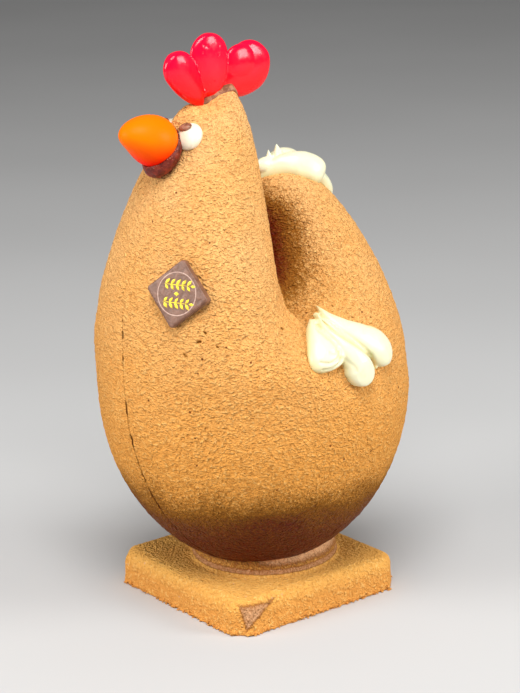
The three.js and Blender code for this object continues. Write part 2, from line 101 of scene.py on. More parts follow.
def named(name: str) -> bpy.types.Object:
    """Name the active piece and its mesh.

    Args:
        name: The piece's name.

    Returns:
        The active piece.
    """
    piece = bpy.context.active_object
    piece.name = name
    piece.data.name = name
    return piece


def joined(name: str, parts: Sequence[bpy.types.Object]) -> bpy.types.Object:
    """Join pieces into one.

    Args:
        name: The joined piece's name.
        parts: The pieces to join.

    Returns:
        The joined piece.
    """
    only(parts[0])
    for part in parts[1:]:
        part.select_set(True)
    if len(parts) > 1:
        bpy.ops.object.join()
    return named(name)


def twin_of(source: bpy.types.Object, name: str) -> bpy.types.Object:
    """Add a piece with its own copy of another's mesh.

    Args:
        source: The piece whose mesh is copied.
        name: The new piece's name.

    Returns:
        The new piece.
    """
    twin = bpy.data.objects.new(name, source.data.copy())
    bpy.context.scene.collection.objects.link(twin)
    only(twin)
    return named(name)


def edit_all(piece: bpy.types.Object, operator: Callable[..., set[str]], **settings: object) -> None:
    """Run an edit mode operator on the whole of a piece's mesh.

    Args:
        piece: The piece to edit.
        operator: The operator.
        **settings: Its settings.
    """
    only(piece)
    bpy.ops.object.mode_set(mode="EDIT")
    bpy.ops.mesh.select_all(action="SELECT")
    operator(**settings)
    bpy.ops.object.mode_set(mode="OBJECT")


def modify(piece: bpy.types.Object, kind: str, **settings: object) -> None:
    """Add a modifier to a piece and apply it.

    Args:
        piece: The piece to change.
        kind: The modifier's type.
        **settings: Its settings.
    """
    only(piece)
    step = piece.modifiers.new(kind.title(), kind)
    for key, value in settings.items():
        setattr(step, key, value)
    bpy.ops.object.modifier_apply(modifier=step.name)


def grow(piece: bpy.types.Object, amount: float) -> None:
    """Move a piece's whole skin outward by an amount in millimetres."""
    modify(piece, "DISPLACE", strength=amount * MM, mid_level=0.0)


def points_of(piece: bpy.types.Object) -> Points:
    """Read a piece's points in millimetres.

    Args:
        piece: The piece to read.

    Returns:
        One row for each point.
    """
    flat = np.empty(len(piece.data.vertices) * 3)
    piece.data.vertices.foreach_get("co", flat)
    return flat.reshape(-1, 3) / MM


def move_points(piece: bpy.types.Object, points: Points) -> None:
    """Move a piece's points to new places in millimetres."""
    piece.data.vertices.foreach_set("co", (points * MM).ravel())
    piece.data.update()


def normals_of(piece: bpy.types.Object) -> Points:
    """Read which way a piece faces at each point.

    Args:
        piece: The piece to read.

    Returns:
        One unit row for each point.
    """
    flat = np.empty(len(piece.data.vertices) * 3)
    piece.data.vertex_normals.foreach_get("vector", flat)
    return flat.reshape(-1, 3)


def raise_points(piece: bpy.types.Object, rise: Points) -> None:
    """Move each point of a piece outward by its own amount in millimetres."""
    move_points(piece, points_of(piece) + normals_of(piece) * rise[:, None])


def turned(points: Points, degrees: float, axis: str = "X") -> Points:
    """Points turned round an axis through the origin."""
    return points @ np.array(Matrix.Rotation(math.radians(degrees), 3, axis)).T


def bearing_of(points: Points) -> Points:
    """Each point's bearing from the front, round the upright axis, in degrees."""
    return np.degrees(np.arctan2(points[:, 0], -points[:, 1]))


def placed_by(points: Points, matrix: Matrix) -> Points:
    """Points carried from a frame's own directions to where it stands."""
    placing = np.array(matrix)
    return points @ placing[:3, :3].T + placing[:3, 3]


def ball(name: str, columns: int, rows: int) -> bpy.types.Object:
    """Add a unit ball, in millimetres, as the start of a rounded form.

    Args:
        name: The form's name.
        columns: Facets round its upright axis.
        rows: Facets from pole to pole.

    Returns:
        The new ball.
    """
    bpy.ops.object.select_all(action="DESELECT")
    bpy.ops.mesh.primitive_uv_sphere_add(segments=columns, ring_count=rows, radius=MM)
    return named(name)


def bulge(name: str, facets: tuple[int, int], radii: Sequence[float], centre: Sequence[float],
          tilt: float = 0.0) -> bpy.types.Object:
    """Add a rounded form with its own half size along each axis.

    Args:
        name: The form's name.
        facets: Facets round its upright axis, and from pole to pole.
        radii: Its half sizes.
        centre: Its centre.
        tilt: How far its rear is tilted up, in degrees.

    Returns:
        The form.
    """
    form = ball(name, *facets)
    move_points(form, turned(points_of(form) * radii, tilt) + centre)
    return form


def fuse(name: str, forms: Sequence[bpy.types.Object], voxel: float, calm: int) -> bpy.types.Object:
    """Join overlapping closed forms into one even skin.

    Args:
        name: The fused piece's name.
        forms: The forms to fuse.
        voxel: The skin's mesh size in millimetres.
        calm: How many times the skin is smoothed.

    Returns:
        The fused piece.
    """
    piece = joined(name, forms)
    modify(piece, "REMESH", mode="VOXEL", voxel_size=voxel * MM, adaptivity=0.0)
    if calm:
        modify(piece, "SMOOTH", factor=0.5, iterations=calm)
    return piece


def copy_of_node(node: str, name: str) -> bpy.types.Object:
    """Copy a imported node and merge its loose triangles.

    Args:
        node: The node's name.
        name: The copy's name.

    Returns:
        The copy, with its own mesh.
    """
    copy = twin_of(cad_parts[node], name)
    copy.data.materials.clear()
    edit_all(copy, bpy.ops.mesh.remove_doubles, threshold=MERGE_GAP * MM)
    return copy


def weigh(piece: bpy.types.Object, name: str, shares: Points) -> None:
    """Give a piece a vertex group.

    Args:
        piece: The piece.
        name: The group's name.
        shares: A share from 0 to 1 for each point.
    """
    group = piece.vertex_groups.new(name=name)
    steps = np.round(np.clip(shares, 0, 1) * GROUP_STEPS).astype(int)
    for step in range(1, GROUP_STEPS + 1):
        members = np.nonzero(steps == step)[0]
        if len(members):
            group.add(members.tolist(), step / GROUP_STEPS, "REPLACE")


def note(piece: bpy.types.Object, name: str, shares: Points | float) -> None:
    """Write a value for each point of a piece, which its finish reads.

    Args:
        piece: The piece.
        name: The attribute's name.
        shares: One value for each point, or one for all.
    """
    values = np.zeros(len(piece.data.vertices), dtype=np.float32)
    values[:] = shares
    piece.data.attributes.new(name, "FLOAT", "POINT").data.foreach_set("value", values)


def skin_of(piece: bpy.types.Object) -> BVHTree:
    """The surface of a piece, to find the nearest place on it, in metres."""
    return BVHTree.FromObject(piece, bpy.context.evaluated_depsgraph_get())


def nearness(points: Points, skin: BVHTree, reach: float) -> Points:
    """How near each point is to a surface: 1 on it, and 0 at `reach` or further off."""
    gaps = [skin.find_nearest(Vector(point * MM))[3] / MM for point in points]
    return 1 - np.minimum(1, np.array(gaps) / reach)


def press_on(piece: bpy.types.Object, skin: BVHTree, depth: float = UNDER_SKIN) -> None:
    """Flatten what lies inside a surface to a thin layer just under it.

    Args:
        piece: The piece that is set on the surface.
        skin: The surface that carries it.
        depth: How far below the surface its back lies, in millimetres.
    """
    points = points_of(piece)
    for index, point in enumerate(points):
        place, outward, _, _ = skin.find_nearest(Vector(point * MM))
        below = (place - Vector(point * MM)).dot(outward) / MM
        if below > depth:
            points[index] = np.array(place / MM) - np.array(outward) * depth
    move_points(piece, points)


def seat(piece: bpy.types.Object, finish: bpy.types.Material, slot: Slot, *nodes: str,
         sharp: float = 50.0) -> None:
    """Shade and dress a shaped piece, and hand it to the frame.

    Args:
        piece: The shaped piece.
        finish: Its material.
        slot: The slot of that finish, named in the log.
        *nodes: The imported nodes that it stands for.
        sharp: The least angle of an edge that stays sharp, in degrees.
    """
    only(piece)
    bpy.ops.object.shade_smooth_by_angle(angle=math.radians(sharp))
    piece.data.materials.append(finish)
    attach(piece, "root")
    if nodes:
        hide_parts(*nodes)
    LOG.info("%s: %d points, %s", piece.name, len(piece.data.vertices), slot.value)


def ease(value: Points, low: float, high: float) -> Points:
    """A smooth rise from 0 at `low` to 1 at `high`."""
    share = np.clip((value - low) / (high - low), 0, 1)
    return share * share * (3 - 2 * share)


def ripple(points: Points, size: float, seed: float = 0.0) -> Points:
    """Even noise of about -1 to 1 at each point, with ripples of a size in millimetres."""
    shift = Vector((seed, 2.3 * seed, 5.1 * seed))
    return np.array([noise.noise(Vector(point) / size + shift) for point in points])


def linear(red: int, green: int, blue: int) -> Colour:
    """A colour given in the usual 0 to 255 steps, as light.

    Args:
        red: Red, 0 to 255.
        green: Green, 0 to 255.
        blue: Blue, 0 to 255.

    Returns:
        The same colour in linear light.
    """
    def light(step: int) -> float:
        """One channel in linear light."""
        share = step / 255
        return share / 12.92 if share <= 0.04045 else ((share + 0.055) / 1.055) ** 2.4

    return light(red), light(green), light(blue)


# ---------------------------------------------------------------- finishes


class Recipe:
    """A procedural material while it is put together, on the piece's own coordinates."""

    def __init__(self, name: str) -> None:
        """Start a material.

        Args:
            name: The material's name.
        """
        self.material = bpy.data.materials.new(name)
        self.material.use_nodes = True
        self.nodes = self.material.node_tree.nodes
        self.nodes.clear()
        output = self.nodes.new("ShaderNodeOutputMaterial")
        self.shader = self.nodes.new("ShaderNodeBsdfPrincipled")
        self._link(self.shader.outputs[0], output.inputs["Surface"])
        self.place = self.nodes.new("ShaderNodeTexCoord").outputs["Object"]

    def _link(self, source: bpy.types.NodeSocket, target: bpy.types.NodeSocket) -> None:
        """Join two sockets."""
        self.material.node_tree.links.new(source, target)

    def _feed(self, socket: bpy.types.NodeSocket, value: object) -> None:
        """Join a socket to another socket, or set it to a plain value.

        Args:
            socket: The socket that takes the value.
            value: A socket, a number or a colour.
        """
        if isinstance(value, bpy.types.NodeSocket):
            self._link(value, socket)
        elif isinstance(value, tuple):
            socket.default_value = (*value, 1.0)
        else:
            socket.default_value = value

    def grain(self, size: float, detail: float = 2.0, roughness: float = 0.5, twist: float = 0.0,
              flatness: float = 1.0) -> bpy.types.NodeSocket:
        """Soft noise from 0 to 1.

        Args:
            size: The size of a grain in millimetres.
            detail: How many finer layers it has.
            roughness: How strong those are.
            twist: How much the grain is distorted.
            flatness: How much wider than high a grain is.

        Returns:
            The noise value.
        """
        mapping = self.nodes.new("ShaderNodeMapping")
        mapping.inputs["Scale"].default_value = (1.0, 1.0, flatness)
        self._link(self.place, mapping.inputs["Vector"])
        node = self.nodes.new("ShaderNodeTexNoise")
        node.inputs["Scale"].default_value = 1 / (size * MM)
        node.inputs["Detail"].default_value = detail
        node.inputs["Roughness"].default_value = roughness
        node.inputs["Distortion"].default_value = twist
        self._link(mapping.outputs[0], node.inputs["Vector"])
        return node.outputs["Fac"]

    def cells(self, size: float) -> bpy.types.NodeSocket:
        """The distance to the middle of the nearest cell, 0 to about 1.

        Args:
            size: The size of a cell in millimetres.

        Returns:
            The distance.
        """
        node = self.nodes.new("ShaderNodeTexVoronoi")
        node.inputs["Scale"].default_value = 1 / (size * MM)
        self._link(self.place, node.inputs["Vector"])
        return node.outputs["Distance"]

    def height(self) -> bpy.types.NodeSocket:
        """Read the height above the table.

        Returns:
            The height in metres.
        """
        node = self.nodes.new("ShaderNodeSeparateXYZ")
        self._link(self.place, node.inputs[0])
        return node.outputs["Z"]

    def noted(self, name: str) -> bpy.types.NodeSocket:
        """Read a value that was written on the piece's points.

        Args:
            name: The attribute's name.

        Returns:
            The value.
        """
        node = self.nodes.new("ShaderNodeAttribute")
        node.attribute_name = name
        return node.outputs["Fac"]

    def rise(self, value: object, low: float, high: float, top: float = 1.0) -> bpy.types.NodeSocket:
        """A smooth rise from 0 at `low` to `top` at `high`.

        Args:
            value: The value that is read.
            low: Where the rise starts.
            high: Where it ends.
            top: The value reached there.

        Returns:
            The risen value.
        """
        node = self.nodes.new("ShaderNodeMapRange")
        node.interpolation_type = "SMOOTHSTEP"
        self._feed(node.inputs["Value"], value)
        node.inputs["From Min"].default_value = low
        node.inputs["From Max"].default_value = high
        node.inputs["To Max"].default_value = top
        return node.outputs["Result"]

    def sum(self, kind: str, *terms: object) -> bpy.types.NodeSocket:
        """Arithmetic on two or three values.

        Args:
            kind: The kind of arithmetic, such as ADD.
            *terms: Sockets or numbers.

        Returns:
            The result.
        """
        node = self.nodes.new("ShaderNodeMath")
        node.operation = kind
        for socket, term in zip(node.inputs, terms):
            self._feed(socket, term)
        return node.outputs[0]

    def total(self, *layers: tuple[bpy.types.NodeSocket, float]) -> bpy.types.NodeSocket:
        """Add layers, each with its weight.

        Args:
            *layers: A socket and a weight for each.

        Returns:
            Their sum.
        """
        whole = self.sum("MULTIPLY", *layers[0])
        for layer in layers[1:]:
            whole = self.sum("ADD", whole, self.sum("MULTIPLY", *layer))
        return whole

    def between(self, share: bpy.types.NodeSocket, first: float, second: float) -> bpy.types.NodeSocket:
        """A value between two numbers."""
        return self.sum("MULTIPLY_ADD", share, second - first, first)

    def blend(self, share: object, first: object, second: object) -> bpy.types.NodeSocket:
        """Mix two colours.

        Args:
            share: How much of the second colour shows.
            first: A colour or a socket.
            second: A colour or a socket.

        Returns:
            The mixed colour.
        """
        node = self.nodes.new("ShaderNodeMix")
        node.data_type = "RGBA"
        self._feed(node.inputs["Factor"], share)
        self._feed(node.inputs[6], first)
        self._feed(node.inputs[7], second)
        return node.outputs[2]

    def bump(self, height: bpy.types.NodeSocket, depth: float,
             strength: float = 1.0) -> bpy.types.NodeSocket:
        """Fine relief.

        Args:
            height: The relief, 0 to 1.
            depth: Its depth in millimetres.
            strength: How strongly it shows.

        Returns:
            The new normal.
        """
        node = self.nodes.new("ShaderNodeBump")
        node.inputs["Distance"].default_value = depth * MM
        node.inputs["Strength"].default_value = strength
        self._feed(node.inputs["Height"], height)
        return node.outputs[0]

    def set(self, **values: object) -> None:
        """Set the shader's sockets, named with _ for a space."""
        for key, value in values.items():
            self._feed(self.shader.inputs[key.replace("_", " ")], value)


@dataclass(frozen=True)
class VelvetSpray:
    """Cocoa butter sprayed as a fine velvet over dark chocolate.

    Attributes name the colours of the spray high and low on the piece and the heights between
    which they blend, painted light that makes the spray lighter higher up; then those of its
    crests, a painted highlight, and its hollows, painted shade; then those of thin spray and
    unsprayed chocolate, which also carry painted shade, and on the base a painted highlight;
    then the width of a wrinkle, how much flatter than wide it is, and the depth of its relief.
    """

    name: str
    high: Colour = linear(242, 184, 118)
    low: Colour = linear(238, 162, 74)
    heights: tuple[float, float] = (50.0, 200.0)
    crest: Colour = linear(255, 208, 130)
    shaded_hollow: Colour = linear(190, 104, 26)
    thin: Colour = linear(144, 90, 24)
    bare_and_painted_light: Colour = linear(96, 20, 0)
    grain: float = 2.05
    flatness: float = 1.4
    relief: float = 4.4
    bare_roughness: float = 0.35

    def material(self) -> bpy.types.Material:
        """Mix the finish.

        Returns:
            The material.
        """
        mix = Recipe(self.name)
        patches = mix.rise(mix.grain(34, 2.0), 0.35, 0.65, 0.35)
        wrinkle = mix.grain(self.grain, 2.0, 0.55, 0.5, self.flatness)
        crumple = mix.grain(self.grain * 0.5, 1.0, 0.5, 0.3, self.flatness)
        powder = mix.grain(0.6, 2.0, 0.7)
        relief = mix.total((wrinkle, 0.54), (crumple, 0.38), (powder, 0.08))
        # Painted light: the spray's colour turns lighter with height, as if lit from above.
        level = mix.rise(mix.height(), self.heights[0] * MM, self.heights[1] * MM)
        colour = mix.blend(patches, mix.blend(level, self.low, self.high), self.low)
        depth = mix.total((wrinkle, 0.5), (crumple, 0.5))
        # Painted highlight: the crests of the wrinkles are lightened.
        colour = mix.blend(mix.rise(depth, 0.54, 0.64, 0.4), colour, self.crest)
        # Painted shade: the hollows between the wrinkles are darkened.
        colour = mix.blend(mix.rise(depth, 0.47, 0.36, 0.32), colour, self.shaded_hollow)
        colour = mix.blend(mix.rise(mix.cells(8.5), 0.075, 0.045, 0.85), colour, self.bare_and_painted_light)
        speckle = mix.total((powder, 0.9), (wrinkle, 0.4))
        # The unsprayed share is partly real unsprayed chocolate and partly painted shade, and on the
        # base also a painted highlight on the collar's lip; the thin spray and unsprayed colours show
        # it.
        bareness_and_painted_light = mix.sum("SUBTRACT", mix.sum("ADD", mix.noted("bare_and_painted_light"), 0.56), speckle)
        colour = mix.blend(mix.rise(bareness_and_painted_light, 0.0, 0.5), colour, self.thin)
        shown = mix.rise(bareness_and_painted_light, 0.36, 0.95)
        colour = mix.blend(shown, colour, self.bare_and_painted_light)
        roughness = mix.between(shown, 0.95, self.bare_roughness)
        mix.set(Base_Color=colour, Roughness=roughness, Normal=mix.bump(relief, self.relief))
        mix.set(Specular_IOR_Level=0.1, Sheen_Weight=0.05, Sheen_Roughness=0.5,
                Sheen_Tint=(1.0, 0.7, 0.2))
        return mix.material


@dataclass(frozen=True)
class GlossyChocolate:
    """Coloured chocolate that keeps the shine of a polished mould, with painted light from above on its
    upper part.
    """

    name: str
    upper: Colour
    lower: Colour
    heights: tuple[float, float]
    roughness: float = 0.28
    coat: float = 0.5
    bloom: Colour | None = None
    gloss: float = 0.5

    def material(self) -> bpy.types.Material:
        """Mix the finish.

        Returns:
            The material.
        """
        mix = Recipe(self.name)
        low, high = self.heights
        # Painted light from above: the lower colour turns into the upper one across the given heights,
        # softened by noise.
        drift = mix.sum("MULTIPLY", mix.sum("SUBTRACT", mix.grain(9, 1.0), 0.5), 4 * MM)
        level = mix.sum("ADD", mix.height(), drift)
        colour = mix.blend(mix.rise(level, low * MM, high * MM), self.lower, self.upper)
        if self.bloom is not None:
            haze = mix.rise(mix.grain(3.2, 3.0, 0.6), 0.56, 0.8, 0.2)
            colour = mix.blend(haze, colour, self.bloom)
        wear = mix.rise(mix.grain(2.4, 3.0, 0.6), 0.35, 0.75, 0.12)
        mix.set(Base_Color=colour, Roughness=mix.sum("ADD", self.roughness, wear))
        mix.set(Normal=mix.bump(mix.grain(2.8, 3.0), 0.05, 0.4))
        mix.set(Coat_Weight=self.coat, Coat_Roughness=0.2, Specular_IOR_Level=self.gloss)
        return mix.material


@dataclass(frozen=True)
class SetChocolate:
    """Melted chocolate that set as glue, dull and uneven."""

    name: str
    light: Colour
    dark: Colour
    roughness: float = 0.42
    bubble: Colour = linear(226, 166, 134)

    def material(self) -> bpy.types.Material:
        """Mix the finish.

        Returns:
            The material.
        """
        mix = Recipe(self.name)
        streaks = mix.grain(2.2, 3.0, 0.6, 0.6)
        colour = mix.blend(mix.rise(streaks, 0.35, 0.7), self.dark, self.light)
        bubbles = mix.rise(mix.cells(0.9), 0.34, 0.12, 0.8)
        froth = mix.sum("MULTIPLY", bubbles, mix.noted("froth"))
        colour = mix.blend(froth, colour, self.bubble)
        mix.set(Base_Color=colour, Roughness=self.roughness, Specular_IOR_Level=0.3)
        mix.set(Normal=mix.bump(streaks, 0.25, 0.7))
        return mix.material


@dataclass(frozen=True)
class PipedWhite:
    """Piped white chocolate, satin, and yellower where the light doesn't reach."""

    name: str
    crest: Colour = linear(232, 229, 194)
    shade: Colour = linear(222, 208, 146)

    def material(self) -> bpy.types.Material:
        """Mix the finish.

        Returns:
            The material.
        """
        mix = Recipe(self.name)
        # Painted shade: yellower in the creases, in the pressed folds and where the piping meets the
        # body.
        colour = mix.blend(mix.noted("crease_shade"), self.crest, self.shade)
        colour = mix.blend(mix.rise(mix.grain(5, 2.0), 0.55, 0.8, 0.25), colour, self.shade)
        mix.set(Base_Color=colour, Roughness=0.36, Coat_Weight=0.2, Coat_Roughness=0.25)
        mix.set(Subsurface_Weight=0.12, Subsurface_Scale=0.002)
        mix.set(Normal=mix.bump(mix.grain(2.0, 2.0), 0.05, 0.5))
        return mix.material


@dataclass(frozen=True)
class PrintedGold:
    """Gold cocoa-butter print with slightly broken edges."""

    name: str
    bright: Colour = linear(250, 226, 40)
    worn: Colour = linear(206, 168, 28)

    def material(self) -> bpy.types.Material:
        """Mix the finish.

        Returns:
            The material.
        """
        mix = Recipe(self.name)
        colour = mix.blend(mix.rise(mix.grain(0.8, 2.0), 0.4, 0.7), self.bright, self.worn)
        mix.set(Base_Color=colour, Roughness=0.4, Metallic=0.15)
        mix.set(Normal=mix.bump(mix.grain(0.5, 1.0), 0.03, 0.5))
        return mix.material


VELVET_BODY = VelvetSpray("velvet_body")
# The base is painted lighter on its top than down its sides, as if lit from above; its pale unsprayed
# colour also paints the highlight on the collar's lip.
VELVET_BASE = VelvetSpray("velvet_base", high=linear(240, 180, 92), low=linear(226, 154, 74),
                          heights=(6.0, 16.0), crest=linear(255, 212, 132), shaded_hollow=linear(188, 116, 44),
                          thin=linear(150, 92, 40), bare_and_painted_light=linear(226, 172, 126), grain=1.7, flatness=1.0,
                          relief=2.4, bare_roughness=0.5)
# The comb's pinkish upper colour is a painted reflection of the overhead light; its deep lower red is
# its own colour.
RED = GlossyChocolate("red_gloss", linear(246, 0, 52), linear(242, 0, 2), (220, 240),
                      roughness=0.14, coat=0.0, bloom=linear(250, 16, 70), gloss=0.38)
# The beak is painted yellower on top and redder below, as if lit from above.
ORANGE = GlossyChocolate("orange_satin", linear(255, 116, 0), linear(252, 18, 0), (196, 209),
                         roughness=0.4, coat=0.02, gloss=0.05)
COMB_GLUE = SetChocolate("set_milk_chocolate", linear(178, 124, 92), linear(118, 70, 46))
BEAK_GLUE = SetChocolate("set_dark_chocolate", linear(138, 46, 28), linear(84, 20, 10))
PUPIL = SetChocolate("pupil_chocolate", linear(172, 118, 94), linear(120, 74, 56), 0.25)
PLAQUE = SetChocolate("plaque_chocolate", linear(136, 98, 80), linear(108, 74, 58), 0.3)
CIRCLE = SetChocolate("plaque_line", linear(206, 176, 160), linear(184, 150, 136), 0.5)
WHITE = PipedWhite("piped_white")
EYE_WHITE = PipedWhite("eye_white", linear(238, 232, 208), linear(218, 196, 152))
GOLD = PrintedGold("printed_gold")


# ---------------------------------------------------------------- body


@dataclass(frozen=True)
class Mark:
    """A pinhole or nick in the velvet.

    Attributes are its height, its bearing round the upright axis from the front in degrees,
    its length, its width, its depth, and the turn of its length from level, in degrees.
    """

    height: float
    bearing: float
    length: float
    width: float
    depth: float
    turn: float


@dataclass
class HenBody:
    """The egg with its neck and head, and the tail behind them, as two moulded halves."""

    egg_radius: float = 67.4
    egg_bottom: float = 13.0
    girth_height: float = 95.0
    tail_top: float = 185.5
    tail_lean: float = 18.0
    tail_taper: float = 0.342
    tail_power: float = 1.68
    scoop_depth: float = 0.5
    scoop_bearings: tuple[float, float] = (50.0, 128.0)
    scoop_from: tuple[float, float] = (116.0, 156.0)
    scoop_to: tuple[float, float] = (162.0, 190.0)
    tail_root: float = 65.0
    tail_inset: float = 0.7
    tail_emerges: tuple[float, float] = (100.0, 117.0)
    head_top: float = 222.5
    head_top_y: float = -9.4
    breast_fullness: float = 1.88
    neck_rear_y: float = -2.4
    neck_taper: float = 0.284
    head_tip_radius: float = 10.83
    crown_height: float = 39.3
    middle_turns: tuple[float, float] = (91.0, 141.5)
    sides_turn: tuple[float, float] = (110.0, 138.0)
    rear_turns: tuple[float, float] = (116.0, 138.0)
    columns: int = 180
    neck_rows: int = 150
    tail_rows: int = 110
    voxel: float = 0.78
    inset: float = 0.36
    seam_foot: float = 12.4
    seam_lean: float = -0.13
    seam_width: float = 0.75
    seam_ends: tuple[float, float] = (128.0, 150.0)
    seam_depth: float = 0.5
    wrinkle_size: float = 3.2
    wrinkle_height: float = 0.3
    foot_calm: int = 70
    fold_from: tuple[float, float] = (106.0, 118.0)
    fold_to: tuple[float, float] = (136.0, 148.0)
    fold_bearings: tuple[float, float] = (34.0, 50.0)
    shade_from: tuple[float, float] = (136.0, 150.0)
    shade_to: tuple[float, float] = (186.0, 198.0)
    bare_and_shade_heights: tuple[float, float] = (29.0, 79.0)
    blotch: tuple[float, float] = (62.0, 49.0)
    blotch_size: tuple[float, float] = (17.0, 6.0)
    hollow_fade: float = 27.0
    foot_fade: float = 5.0
    crown_radii: tuple[float, float, float] = (7.5, 11.0, 7.4)
    crown_centre: tuple[float, float, float] = (-0.5, -28.8, 210.3)
    crown_tilt: float = 31.0
    marks: tuple[Mark, ...] = (
        Mark(130.0, 33.0, 2.4, 0.9, 0.7, 10), Mark(133.7, 35.1, 2.0, 0.8, 0.6, -40),
        Mark(128.2, 39.7, 1.6, 0.9, 0.6, -60), Mark(123.8, 27.8, 3.2, 0.8, 0.6, -35),
        Mark(124.9, 38.9, 1.2, 0.7, 0.5, 0), Mark(132.6, 64.5, 1.8, 0.6, 0.5, -50),
        Mark(131.1, 101.9, 1.0, 0.6, 0.5, 0), Mark(129.3, 111.1, 0.9, 0.6, 0.5, 0),
        Mark(136.1, 96.1, 0.9, 0.6, 0.4, 0), Mark(156.5, 49.7, 1.4, 0.5, 0.4, 20),
        Mark(187.4, -16.0, 6.0, 0.5, 0.6, 50),
    )

    def radius_at(self, height: Points) -> Points:
        """The radius of the plain egg.

        Args:
            height: Heights in millimetres.

        Returns:
            A radius for each height.
        """
        depth = (self.girth_height - height) / (self.girth_height - self.egg_bottom)
        lower = self.egg_radius * np.sqrt(np.clip(1 - depth * depth, 0, None))
        rise = np.clip((height - self.girth_height) / (self.tail_top - self.girth_height), 0, 1)
        taper = 1 - self.tail_taper * rise ** self.tail_power
        upper = self.egg_radius * np.sqrt(1 - rise * rise) * taper
        return np.where(height <= self.girth_height, lower, upper)

    def tail_centre(self, height: Points) -> Points:
        """How far the tail's round section has leant back at each height."""
        rise = np.clip((height - self.girth_height) / (self.tail_top - self.girth_height), 0, 1)
        return self.tail_lean * rise ** self.tail_power

    def front_at(self, height: Points) -> Points:
        """The profile of breast and face in the mirror plane.

        Args:
            height: Heights in millimetres.

        Returns:
            A Y for each height.
        """
        rise = np.clip((height - self.girth_height) / (self.head_top - self.girth_height), 0, 1)
        breast = self.head_top_y - (self.egg_radius + self.head_top_y) * np.sqrt(
            np.clip(1 - rise ** self.breast_fullness, 0, None))
        return np.where(height <= self.girth_height, -self.radius_at(height), breast)

    def rear_at(self, height: Points) -> Points:
        """The profile of the neck's rear in the mirror plane.

        Args:
            height: Heights in millimetres.

        Returns:
            A Y for each height.
        """
        rounding = np.clip(1 - (self.head_top - height) / self.crown_height, 0, None)
        return self.head_top_y + (self.neck_rear_y - self.head_top_y) * np.sqrt(
            np.clip(1 - rounding ** 2, 0, None))

    def neck_section(self, height: Points) -> tuple[Points, Points, Points, Points]:
        """The section of egg and neck at each height.

        Args:
            height: Heights in millimetres.

        Returns:
            The section's centre, half width, reach to the front and reach to the rear.
        """
        round_egg = self.radius_at(height)
        front = self.front_at(height)
        middle = (front + self.rear_at(height)) / 2
        rest = np.clip(self.head_top - height, 0, None)
        cone = np.sqrt((self.neck_taper * rest) ** 2 + 2 * self.head_tip_radius * rest)
        narrowed = ease(height, *self.sides_turn)
        centre = middle * ease(height, *self.middle_turns)
        side = round_egg + (cone - round_egg) * narrowed
        rear = round_egg + (self.rear_at(height) - round_egg) * ease(height, *self.rear_turns)
        return centre, side, centre - front, rear - centre

    def neck_point(self, height: Points, bearing: Points) -> Points:
        """Points of the egg, neck and head.

        Args:
            height: Heights in millimetres.
            bearing: Bearings in radians, 0 in front and a quarter turn on the hen's left.

        Returns:
            One row for each point.
        """
        centre, side, front, rear = self.neck_section(height)
        along = np.cos(bearing)
        reach = np.where(along > 0, front, rear)
        return np.stack([side * np.sin(bearing), centre - reach * along, height], axis=-1)

    def scoop_at(self, height: Points, bearing: Points) -> Points:
        """How far the tail is pinched in.

        Args:
            height: Heights in millimetres.
            bearing: Bearings in radians.

        Returns:
            A share from 0 to 1 for each point.
        """
        level = ease(height, *self.scoop_from) * (1 - ease(height, *self.scoop_to))
        turn = np.degrees(np.abs(np.arctan2(np.sin(bearing), np.cos(bearing))))
        return level * (1 - ease(turn, *self.scoop_bearings))

    def tail_point(self, height: Points, bearing: Points) -> Points:
        """Points of the tail, which is the upper egg pinched in behind the neck.

        Args:
            height: Heights in millimetres.
            bearing: Bearings in radians.

        Returns:
            One row for each point.
        """
        root = np.clip((self.girth_height - height) / (self.girth_height - self.tail_root), 0, 1)
        inset = self.tail_inset * (1 - ease(height, *self.tail_emerges))
        radius = np.clip(self.radius_at(height) - inset, 0, None)
        reach = radius * np.sqrt(1 - root ** 2) * (1 - self.scoop_depth * self.scoop_at(height, bearing))
        return np.stack([reach * np.sin(bearing), self.tail_centre(height) - reach * np.cos(bearing),
                         height], axis=-1)

    def frame_on(self, point_on: Callable[[Points, Points], Points], height: float,
                 bearing: float) -> Matrix:
        """A frame on the skin: X to the hen's left along it, Y up along it, and Z outward.

        Args:
            point_on: The form that carries it.
            height: Its height in millimetres.
            bearing: Its bearing in radians.

        Returns:
            The frame, in millimetres.
        """
        def at(up: float, turn: float) -> Vector:
            """A point of the form beside the frame's origin."""
            return Vector(point_on(np.array([height + up]), np.array([bearing + turn]))[0])

        across = (at(0, 0.01) - at(0, -0.01)).normalized()
        upward = (at(0.1, 0) - at(-0.1, 0)).normalized()
        outward = across.cross(upward).normalized()
        upward = outward.cross(across)
        placed = Matrix((across, upward, outward)).transposed().to_4x4()
        placed.translation = at(0, 0)
        return placed

    def _loft(self, name: str, point_on: Callable[[Points, Points], Points], low: float, high: float,
              rows: int) -> bpy.types.Object:
        """Shape a ball into a closed form through level sections.

        Args:
            name: The form's name.
            point_on: Gives the form's points.
            low: Its lowest height.
            high: Its highest height.
            rows: Rows from pole to pole.

        Returns:
            The lofted form.
        """
        form = ball(name, self.columns, rows)
        unit = points_of(form)
        height = low + (high - low) * (1 + unit[:, 2]) / 2
        bearing = np.arctan2(unit[:, 0], -unit[:, 1])
        move_points(form, point_on(height, bearing))
        return form

    def _off_neck(self, points: Points) -> Points:
        """How far each point lies outside the neck's section.

        Args:
            points: Points in millimetres.

        Returns:
            About how many millimetres for each.
        """
        centre, side, front, rear = self.neck_section(points[:, 2])
        ahead = centre - points[:, 1]
        reach = np.where(ahead > 0, front, rear)
        share = np.hypot(points[:, 0] / np.maximum(side, 1), ahead / np.maximum(reach, 1))
        return np.clip(share - 1, 0, None) * np.minimum(side, reach)

